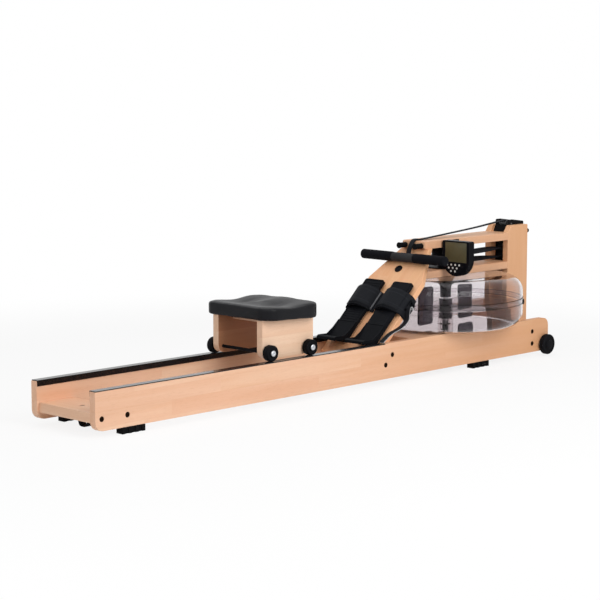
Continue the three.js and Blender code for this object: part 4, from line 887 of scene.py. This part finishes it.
def addFootplates():
    size = plate
    skirt, top, inner, outer = size["skirt"], size["top"], size["inner"], size["outer"]
    corners = [(size["low"], inner), (size["high"], inner), (size["high"], outer), (size["low"], outer)]
    for name, side in sides:
        node = f"{name}_footplate"
        bm = bmesh.new()
        outline = [bm.verts.new((u / 1000, side * y / 1000, skirt / 1000)) for u, y in corners]
        bm.faces.new(outline)
        bmesh.ops.bevel(
            bm, geom=outline, offset=size["corner"] / 1000, offset_type="OFFSET", segments=5, profile=0.5,
            affect="VERTICES", material=-1)
        grown = bmesh.ops.extrude_face_region(bm, geom=bm.faces[:])["geom"]
        upper = [item for item in grown if isinstance(item, bmesh.types.BMFace)]
        bmesh.ops.translate(bm, vec=(0, 0, (top - skirt) / 1000), verts=vertsOf(grown))
        bmesh.ops.inset_region(bm, faces=upper, thickness=size["rim"] / 1000, depth=0)
        bmesh.ops.inset_region(
            bm, faces=upper, thickness=size["rimSlope"] / 1000, depth=-size["hollow"] / 1000)
        bm.normal_update()
        under = [face for face in bm.faces if abs(face.calc_center_median().z - skirt / 1000) < 1e-6]
        bmesh.ops.inset_region(bm, faces=under, thickness=size["drawnIn"] / 1000, depth=0)
        sunk = bmesh.ops.extrude_face_region(bm, geom=under)["geom"]
        bmesh.ops.delete(bm, geom=under, context="FACES")
        bmesh.ops.translate(bm, vec=(0, 0, (size["base"] - skirt) / 1000), verts=vertsOf(sunk))
        softEdges(addPiece(camel(node), ontoSlope(bm), blackPlastic, "frame", (node,)), 0.8, 3)

        ribs = bmesh.new()
        floor = top - size["hollow"]
        first, last = size["low"] + size["ribsFrom"], size["high"] - size["ribsTo"]
        for i in range(size["ribs"]):
            u = first + (last - first) * i / (size["ribs"] - 1)
            low = Vector((u - size["ribWidth"] / 2, inner + size["ribEnd"], floor - 0.5))
            high = Vector((u + size["ribWidth"] / 2, outer - size["ribEnd"], floor + size["ribRise"]))
            joinInto(ribs, blockForm(low / 1000, high / 1000))
        bmesh.ops.scale(ribs, vec=(1, side, 1), verts=ribs.verts)
        piece = addPiece(f"{name}PlateRibs", ontoSlope(ribs), blackPlastic, "frame")
        softEdges(piece, 0.4)


addFootplates()

cup = {
    "side": [(50, 20.3), (50, 24), (10, 27), (-22, 34), (-50, 62), (-58, 64.5), (-65, 59), (-30, 20.3)],
    "inner": 23, "outer": 104, "rim": 4.5, "floor": 22.6, "turn": -24, "slant": 1.13, "tread": (-52, 45),
}


def addHeelCups():
    size = cup
    rear, front = size["tread"]
    for name, side in sides:
        node = f"{name}_heel_cup"
        bm = bmesh.new()
        bm.faces.new([
            bm.verts.new((u / 1000, side * size["inner"] / 1000, n / 1000)) for u, n in size["side"]])
        across = bmesh.ops.extrude_face_region(bm, geom=bm.faces[:])["geom"]
        bmesh.ops.translate(
            bm, vec=(0, side * (size["outer"] - size["inner"]) / 1000, 0), verts=vertsOf(across))
        bmesh.ops.recalc_face_normals(bm, faces=bm.faces)
        tread = [
            face for face in bm.faces if abs(face.normal.y) < 0.1 and face.normal.z > 0.3
            and rear < face.calc_center_median().x * 1000 < front]
        bmesh.ops.inset_region(bm, faces=tread, thickness=size["rim"] / 1000, depth=0)
        sunk = bmesh.ops.extrude_face_region(bm, geom=tread)["geom"]
        bmesh.ops.delete(bm, geom=tread, context="FACES")
        for vert in vertsOf(sunk):
            vert.co.z = (size["floor"] + size["slant"] * max(0, size["turn"] - vert.co.x * 1000)) / 1000
        softEdges(addPiece(camel(node), ontoSlope(bm), blackPlastic, bodyOf[node], (node,)), 1.6, 4, 25)


addHeelCups()

badge = {
    "u": 306, "y": 14, "radius": 14, "rise": 3.4, "ring": 9.5, "groove": 0.6, "dished": 0.4, "round": 1.6,
}


def addBadge():
    rise, ring, radius, rounding = badge["rise"], badge["ring"], badge["radius"], badge["round"]
    floor, middle = rise - badge["groove"], rise - badge["dished"]
    form = [
        (0, middle), (ring - 1, middle), (ring - 0.5, floor), (ring + 0.5, floor), (ring + 1, rise),
        *arc(radius - rounding, rise - rounding, rounding, 90, 0, 5), (radius, 0), (0, 0)]
    bm = turnedForm(form, "z", Vector((0, 0, 0)), 48)
    turnForm(bm, -slope["angle"], "Y")
    bmesh.ops.translate(bm, vec=onSlope(badge["u"], badge["y"], 0.1), verts=bm.verts)
    addPiece("boardCap", bm, glossyBlack, "frame")


addBadge()

strap = {
    "u": 152, "width": 84, "thickness": 2.4,
    "arch": [
        (2.4, 2.8), (8.8, 4), (16, 13), (22, 23.2), (40, 36), (63.5, 42), (86, 37), (104, 25.5), (117, 14),
        (121.8, 2), (121.8, -22)],
    "flap": [(13, 11.5), (23.5, 27.5), (41, 39.5), (63.5, 45.3), (84, 41), (101, 31.4), (111, 23.4)],
    "pad": [(28, 24.6), (40, 29.8), (52, 33.6), (63.5, 35.2), (75, 34), (87, 30), (97, 26)],
    "padWidth": 88, "padThickness": 4, "end": [(11, 7.8), (14.4, 12.4)],
}


def strapRoute(points, side, perSpan, u):
    return smoothRoute([onSlope(u, side * y, n) for y, n in points], perSpan)


def addToeStraps():
    size = strap
    u, width = size["u"], size["width"]
    for name, side in sides:
        addRibbon(
            f"{name}ToeStrap", strapRoute(size["arch"], side, 8, u), climb, width, size["thickness"],
            toeWebbing, "frame", (f"{name}_toe_strap",), columns=10)
        addRibbon(
            f"{name}StrapFlap", strapRoute(size["flap"], side, 8, u + 1), climb, width - 9, size["thickness"],
            toeWebbing, "frame", columns=10)
        addRibbon(
            f"{name}StrapEnd", strapRoute(size["end"], side, 3, u + 1), climb, width - 8, 4.2, greyNylon,
            "frame", columns=6)
        bm = ribbonForm(strapRoute(size["pad"], side, 5, u), climb, size["padWidth"], 8)
        piece = addPiece(f"{name}StrapPad", bm, gripFoam, "frame", crease=80)
        giveWall(piece, size["padThickness"])
        rounded = piece.modifiers.new("round", "SUBSURF")
        rounded.levels = rounded.render_levels = 2
        settle(piece)


addToeStraps()

buckle = {
    "u": 156, "half": 20, "low": -24, "high": 6, "face": 123.2, "thickness": 6, "bar": 4.5,
    "middle": (-11, -7),
}


def addBuckles():
    half, low, high, bar = buckle["half"], buckle["low"], buckle["high"], buckle["bar"]
    face = buckle["face"]
    parts = [
        (-half, half, low, low + bar), (-half, half, high - bar, high), (-half, -half + bar, low, high),
        (half - bar, half, low, high), (-half, half, *buckle["middle"])]
    for name, side in sides:
        whole = bmesh.new()
        for u0, u1, n0, n1 in parts:
            joinInto(whole, blockForm(
                Vector((buckle["u"] + u0, face, n0)) / 1000,
                Vector((buckle["u"] + u1, face + buckle["thickness"], n1)) / 1000))
        bmesh.ops.scale(whole, vec=(1, side, 1), verts=whole.verts)
        piece = addPiece(f"{name}Buckle", ontoSlope(whole), blackPlastic, "frame")
        softEdges(piece, 0.8)


addBuckles()

tail = {
    "y": -135, "width": 20, "thickness": 2.2,
    "points": [
        (150, -12), (153, 0), (145, 5), (128, -6), (112, -18), (88, -17), (62, -7), (38, 6), (17, 15),
        (-4, 20), (-22, 23.5)],
}


def addStrapTail():
    size = tail
    route = smoothRoute([onSlope(u, size["y"], n) for u, n in size["points"]], 6)
    bm = ribbonForm(route, Vector((0, 1, 0)), size["width"], 4)
    piece = addPiece("nearStrapTail", bm, palerWebbing, "frame", crease=60)
    piece.data.materials.append(tailWebbing)
    giveWall(piece, size["thickness"]).material_offset = 1
    settle(piece)
    length = sum((there - here).length for here, there in zip(route, route[1:]))
    [tuple(spot) for spot in route[::3]] + [tuple(route[-1])]


addStrapTail()
print("footboard made")


# Monitor

dressNode("monitor_arm", blackPlastic, 1.0)

monitor = {
    "face": 1608, "depth": 28, "y": -116.5, "half": 58.5, "top": 443, "straight": 62, "corner": 7,
    "screenHalf": 47, "screenTop": 438, "screenBottom": 370, "recess": 2.5, "keyRadius": 3.6, "keyRise": 0.9,
    "keys": [(4, 361, 0), (3, 350, 2), (2, 339, 1)], "pitch": 17.5, "keysAside": 10, "rod": (1646, 400),
    "clamp": (-32, 32), "clampHalf": 7, "clampRadii": (6.45, 9.6, 10),
}


def addMonitor():
    size = monitor
    face = size["face"]
    straight = size["top"] - size["straight"]
    rounded = size["half"] - size["corner"]
    edge = size["top"] - size["corner"]
    outside = arc(rounded, edge, size["corner"], 0, 90, 5) + arc(-rounded, edge, size["corner"], 90, 180, 5)
    outside += arc(0, straight, size["half"], 180, 360, 40)
    inside = [
        (size["screenHalf"], size["screenTop"]), (-size["screenHalf"], size["screenTop"]),
        (-size["screenHalf"], size["screenBottom"]), (size["screenHalf"], size["screenBottom"])]
    bm = bmesh.new()

    def loopOf(points):
        verts = [bm.verts.new(onRail(face, size["y"] + y, z)) for y, z in points]
        return [bm.edges.new(pair) for pair in zip(verts, verts[1:] + verts[:1])]

    rim, window = loopOf(outside), loopOf(inside)
    bmesh.ops.triangle_fill(bm, use_beauty=True, edges=rim + window)
    for loop, depth in ((rim, size["depth"]), (window, size["recess"])):
        grown = bmesh.ops.extrude_edge_only(bm, edges=loop)["geom"]
        bmesh.ops.translate(bm, vec=(depth / 1000, 0, 0), verts=vertsOf(grown))
        edges = [item for item in grown if isinstance(item, bmesh.types.BMEdge)]
        bmesh.ops.contextual_create(bm, geom=edges)
    bmesh.ops.dissolve_limit(bm, angle_limit=math.radians(0.5), verts=bm.verts, edges=bm.edges)
    housing = addPiece("monitorHousing", bm, glossyBlack, "monitor", ("monitor_housing",))
    softEdges(housing, 2.2, 4, 50)

    middle, aside, fit = size["y"], size["screenHalf"] - 0.3, 0.3
    glass = blockForm(
        onRail(face + 0.9, middle - aside, size["screenBottom"] + fit),
        onRail(face + size["recess"] - 0.2, middle + aside, size["screenTop"] - fit))
    softEdges(addPiece("monitorScreen", glass, screenOlive, "monitor", ("monitor_screen",)), 0.5)

    keys = bmesh.new()
    radius, rise = size["keyRadius"], size["keyRise"]
    cap = [(0, rise), (radius - 0.7, rise), (radius, rise - 0.5), (radius, -0.4), (0, -0.4)]
    for count, z, aside in size["keys"]:
        for i in range(count):
            y = middle + size["keysAside"] + aside + (i - (count - 1) / 2) * size["pitch"]
            joinInto(keys, turnedForm([(r, -h) for r, h in cap], "x", onRail(face, y, z), 20))
    addPiece("monitorKeys", keys, keyWhite, "monitor")

    rodX, rodZ = size["rod"]
    bore, edge, outer = size["clampRadii"]
    for side, offset in zip(("Near", "Far"), size["clamp"]):
        low, high = middle + offset - size["clampHalf"], middle + offset + size["clampHalf"]
        ring = [(bore, low), (edge, low), (outer, low + 0.4), (outer, high - 0.4), (edge, high), (bore, high)]
        bm = turnedForm(ring, "y", onRail(rodX, 0, rodZ), 40, closed=True)
        addPiece(f"rodClamp{side}", bm, blackPlastic, "monitor")


addMonitor()
print("monitor made")


# Handle, yoke and rest

handle = {
    "x": 1480, "y": 5, "z": 388, "core": 12, "middle": 47, "middleRadius": 15.5, "grip": 16.5, "inner": 48,
    "end": 186,
}


def addHandle():
    size = handle
    centre = onRail(size["x"], size["y"], size["z"])
    thin, thick, half = size["core"], size["middleRadius"], size["middle"]
    far, inner, grip = size["end"], size["inner"], size["grip"]
    end = far - 6
    core = [
        (0, -end), (thin, -end), (thin, -half), (thick - 0.6, -half), (thick, -half + 0.6),
        (thick, half - 0.6), (thick - 0.6, half), (thin, half), (thin, end), (0, end)]
    addPiece("handleBar", turnedForm(core, "y", centre, 48), handleGrey, "handle", ("handle_bar",))
    bore = thin + 0.3
    foam = [
        (bore, inner), (grip - 2.4, inner), *arc(grip - 2.4, inner + 2.4, 2.4, -90, 0, 4),
        *arc(grip - 5, far - 5, 5, 0, 90, 6), (0, far), (0, far - 5.7), (bore, far - 5.7), (bore, inner)]
    for name, side in sides:
        bm = turnedForm([(r, side * h) for r, h in foam], "y", centre, 48)
        addPiece(f"{name}Grip", bm, gripFoam, "handle", (f"{name}_grip",))


addHandle()

yoke = {
    "route": [
        (1541, 445.6), (1532, 446), (1523.5, 442.6), (1513, 432), (1504, 417), (1499.4, 403), (1498, 392),
        (1498, 383)],
    "width": 19, "thickness": 2.6, "apex": (1534, 1548, 10.5, 443.2, 448),
    "clamp": (1494.6, 1500.6, 12, 380, 395),
}


def addYoke():
    size = yoke

    def addBlock(name, part, stands=()):
        x0, x1, half, z0, z1 = size[part]
        bm = blockForm(onRail(x0, -half, z0), onRail(x1, half, z1))
        softEdges(addPiece(name, bm, blackPlastic, "handle", stands), 1.4, 4)

    addBlock("yokeApex", "apex", ("handle_yoke",))
    route = smoothRoute([onRail(x, 0, z) for x, z in size["route"]], 8)
    addRibbon("yokeStrap", route, Vector((0, 1, 0)), size["width"], size["thickness"], beltWebbing, "handle")
    addBlock("yokeClamp", "clamp")


addYoke()

rest = {
    "face": 1528.7, "plate": 3.7, "half": 49.6, "bottom": 418, "top": 439.5, "y": 35, "z": 426.5, "peg": 9,
    "knob": 10.5, "knobRound": 2.5, "reach": 38,
}


def addRest():
    size = rest
    front = size["face"] - size["plate"]
    low = onRail(front, -size["half"], size["bottom"])
    high = onRail(size["face"], size["half"], size["top"])
    board = addPiece("handleRest", blockForm(low, high), crossWood, "frame", ("handle_rest",))
    softEdges(board, 1.2, 3)
    reach, knob, peg, rounding = size["reach"], size["knob"], size["peg"], size["knobRound"]
    form = [
        (0, reach), (knob - rounding, reach),
        *arc(knob - rounding, reach - rounding, rounding, 90, 0, 4), (knob, reach - 4.4),
        (peg, reach - 5.2), (peg, 0), (0, 0)]
    for name, side in sides:
        bm = turnedForm([(r, -h) for r, h in form], "x", onRail(front, side * size["y"], size["z"]), 40)
        addPiece(f"{name}Peg", bm, footRubber, "frame")


addRest()
print("handle made")


# Seat, rollers and wheels

seat = {
    "voxel": 0.004, "pressure": 4, "cap": 0.0015, "shrink": 0.0005, "corners": 0.004, "frames": 20,
    "baseSetBack": 62,
}


def addSeat():
    bm = copyOfNode("seat_pad")
    columns = [[vert.co[i] for vert in bm.verts] for i in (0, 1)]
    size = [(min(column), max(column)) for column in columns]
    bmesh.ops.triangulate(bm, faces=bm.faces)
    piece = addPiece("seatCushion", bm, seatSkin, "seat", ("seat_pad",), crease=80)
    even = piece.modifiers.new("even", "REMESH")
    even.mode = "VOXEL"
    even.voxel_size = seat["voxel"]
    smooth = piece.modifiers.new("smooth", "SMOOTH")
    smooth.factor = 0.5
    smooth.iterations = 1
    settle(piece)
    swell(piece)
    fine = piece.modifiers.new("fine", "SUBSURF")
    fine.levels = fine.render_levels = 1
    settle(piece)
    for axis, (low, high) in enumerate(size):  # set a little past the solid's sides
        low, high = low - seat["corners"], high + seat["corners"]
        places = [vert.co[axis] for vert in piece.data.vertices]
        first, span = min(places), max(places) - min(places)
        for vert in piece.data.vertices:
            vert.co[axis] = low + (vert.co[axis] - first) * (high - low) / span
    piece.data.shade_smooth()


def swell(piece):  # lets the skin bulge a little under pressure, then keeps it within the cap
    for vert in piece.data.vertices:
        vert.co -= vert.normal * seat["shrink"]
    start = [vert.co.copy() for vert in piece.data.vertices]
    cloth = piece.modifiers.new("skin", "CLOTH")
    cloth.settings.use_pressure = True
    cloth.settings.uniform_pressure_force = seat["pressure"]
    cloth.settings.effector_weights.gravity = 0
    for number in range(1, seat["frames"] + 1):
        bpy.context.scene.frame_set(number)
    graph = bpy.context.evaluated_depsgraph_get()
    swollen = [vert.co.copy() for vert in piece.evaluated_get(graph).data.vertices]
    piece.modifiers.clear()
    for vert, before, after in zip(piece.data.vertices, start, swollen):
        move = after - before
        if move.length > seat["cap"]:
            move *= seat["cap"] / move.length
        vert.co = before + move
    bpy.context.scene.frame_set(1)


addSeat()


def addSeatBase():  # its rear edge is set back, out of sight
    bm = copyOfNode("seat_base")
    rear = min(vert.co.x for vert in bm.verts)
    edge = [vert for vert in bm.verts if vert.co.x < rear + 0.02]
    bmesh.ops.translate(bm, vec=(seat["baseSetBack"] / 1000, 0, 0), verts=edge)
    softEdges(addPiece("seatBase", bm, paleWood, "seat", ("seat_base",)), 1.2)


addSeatBase()


def addSeatSides():  # painted shade on the inner faces, in a darker copy of the wood
    for name, side in sides:
        node = f"{name}_seat_side"
        piece = addPiece(camel(node), copyOfNode(node), paleWood, "seat", (node,))
        paintFaces(piece, innerShadeWood, lambda face: face.normal.y * side < -0.9)
        softEdges(piece, 1.6, 3)


addSeatSides()

roller = {
    "radius": 25, "inner": 114, "outer": 136, "bore": 5.45, "hub": 12.5, "web": 19, "dish": 1.6, "z": 161.3,
    "places": {"rear": 712, "front": 887},
}
axle = {
    "radius": 5, "shoulder": 110.3, "inner": 113.7, "head": 136.3, "end": 140.3, "headRadius": 9.5,
    "headRound": 2.6, "socket": 3.2, "socketDepth": 2.2,
}


def rollerForm():
    a, b, radius = roller["inner"], roller["outer"], roller["radius"]
    bore, hub, web, dish = roller["bore"], roller["hub"], roller["web"], roller["dish"]
    return [
        (bore, a), (hub, a), (hub + 0.8, a + dish), (web, a + dish), (web + 0.8, a),
        *arc(radius - 3, a + 3, 3, -90, 0, 5), *arc(radius - 3, b - 3, 3, 0, 90, 5), (web + 0.8, b),
        (web, b - dish), (hub + 0.8, b - dish), (hub, b), (bore, b)]


def axleForm():
    thin, thick, rounding = axle["radius"], axle["headRadius"], axle["headRound"]
    head, end, socket = axle["head"], axle["end"], axle["socket"]
    floor = end - axle["socketDepth"]
    half = [
        (thin, 0), (thin, axle["shoulder"]), (thick, axle["shoulder"]), (thick, axle["inner"]),
        (thin, axle["inner"]), (thin, head), (thick, head), (thick, head + 1.2),
        *arc(thick - rounding, end - rounding, rounding, 0, 90, 5)[1:], (socket, end), (socket, floor),
        (0, floor)]
    return [(r, -h) for r, h in reversed(half[1:])] + half


def addRollers():
    for end, x in roller["places"].items():
        centre = onRail(x, 0, roller["z"])
        for name, side in sides:
            node = f"{end}_{name}_roller"
            form = [(r, side * h) for r, h in rollerForm()]
            bm = turnedForm(form, "y", centre, 64, closed=True)
            addPiece(camel(node), bm, rollerRubber, bodyOf[node], (node,))
        node = f"{end}_seat_axle"
        piece = addPiece(camel(node), turnedForm(axleForm(), "y", centre, 48), boltSteel, "seat", (node,))
        paintFaces(piece, blackSteel, lambda face: abs(face.center.y) * 1000 < axle["inner"])


addRollers()

wheel = {
    "x": 2078, "z": 42, "radius": 36, "face": 144, "inner": 147, "outer": 166, "pin": 6, "pinEnd": 120.3,
    "cap": 17, "round": 4, "dome": 4.2,
}


def addWheels():
    size = wheel
    r, a, b, cap = size["radius"], size["inner"], size["outer"], size["cap"]
    pin, pinEnd, collar = size["pin"], size["pinEnd"], size["face"] + 0.3
    rounding, dome = size["round"], size["dome"]
    form = [
        (0, pinEnd), (pin, pinEnd), (pin, collar), (cap, collar), (cap, a),
        *arc(r - rounding, a + rounding, rounding, -90, 0, 5), (r, a + 6), (r - 1, a + 7), (r - 1, b - 7),
        (r, b - 6), *arc(r - rounding, b - rounding, rounding, 0, 90, 5), (r - 8, b), (r - 9, b - 1.6),
        (cap + 5, b - 1.6), (cap + 4, b), (cap, b), (cap, b + 0.6), *arc(cap - dome, b, dome, 8, 84, 6),
        (0, b + 4.4)]
    for name, side in sides:
        node = f"{name}_wheel"
        turned = [(radius, side * along) for radius, along in form]
        bm = turnedForm(turned, "y", onRail(size["x"], 0, size["z"]), 72)
        addPiece(camel(node), bm, rollerRubber, bodyOf[node], (node,))


addWheels()
print("seat and wheels made")


# Studio

studio = {
    "floor": 9.0, "paper": 0.9, "shadow": 0.86, "fade": (1.3, 2.6), "worldLight": 0.28, "aim": (0.1, 0, 0.2),
    "lamps": {
        "key": ((-0.35, -3.3, 2.1), 2.4, 84), "fill": ((-3.2, -0.8, 2.3), 2.2, 26),
        "top": ((0.0, 0.4, 3.6), 3.2, 36),
    },
}


def whiteToCamera(make):  # 1 for rays that look at the paper, straight or in a reflection
    rays = make.add("ShaderNodeLightPath")
    total = rays.pick("Is Camera Ray")
    for name in ("Is Glossy Ray", "Is Transmission Ray"):
        total = make.math("MAXIMUM", total, rays.pick(name))
    return total


def makePaper():
    make = Recipe(bpy.data.materials.new("studioPaper"), {
        "Base Color": (studio["paper"],) * 3 + (1,), "Roughness": 0.9, "Specular IOR Level": 0})
    spot = make.add("ShaderNodeTexCoord").pick("Object")
    far = make.add("ShaderNodeVectorMath", {"operation": "LENGTH"}, {0: spot}, "Value")
    near, gone = studio["fade"]
    fade = make.add(  # the shadow's share, none of it far from the machine
        "ShaderNodeMapRange", {"interpolation_type": "SMOOTHSTEP"},
        {"Value": far, "From Min": near, "From Max": gone, "To Min": studio["shadow"], "To Max": 1.0})
    glow = make.add("ShaderNodeEmission")
    base = Wire(make, make.shader.outputs[0])
    mix = make.add("ShaderNodeMixShader", None, {0: whiteToCamera(make) * fade, 1: base, 2: glow})
    make.feed(make.tree.nodes["Material Output"].inputs[0], mix)
    return make.owner


def addStudio():
    bm = bmesh.new()
    bmesh.ops.create_grid(bm, x_segments=1, y_segments=1, size=studio["floor"])
    mesh = bpy.data.meshes.new("studioFloor")
    bm.to_mesh(mesh)
    bm.free()
    mesh.materials.append(makePaper())
    floor = bpy.data.objects.new("studioFloor", mesh)
    bpy.context.scene.collection.objects.link(floor)

    world = bpy.data.worlds.new("studioWorld")
    bpy.context.scene.world = world
    make = Recipe(world, {"Color": (1, 1, 1, 1)}, "Background")
    level = make.add(
        "ShaderNodeMapRange", None,
        {"Value": whiteToCamera(make), "To Min": studio["worldLight"], "To Max": 1.0})
    make.feed(make.shader.inputs["Strength"], level)

    for name, (place, size, power) in studio["lamps"].items():
        lamp = bpy.data.lights.new(f"{name}Lamp", "AREA")
        lamp.shape = "SQUARE"
        lamp.size = size
        lamp.energy = power
        holder = bpy.data.objects.new(f"{name}Lamp", lamp)
        holder.location = place
        aim = Vector(studio["aim"]) - Vector(place)
        holder.rotation_euler = aim.to_track_quat("-Z", "Y").to_euler()
        bpy.context.scene.collection.objects.link(holder)


addStudio()
bpy.context.scene.view_settings.view_transform = "Standard"
print("studio made")
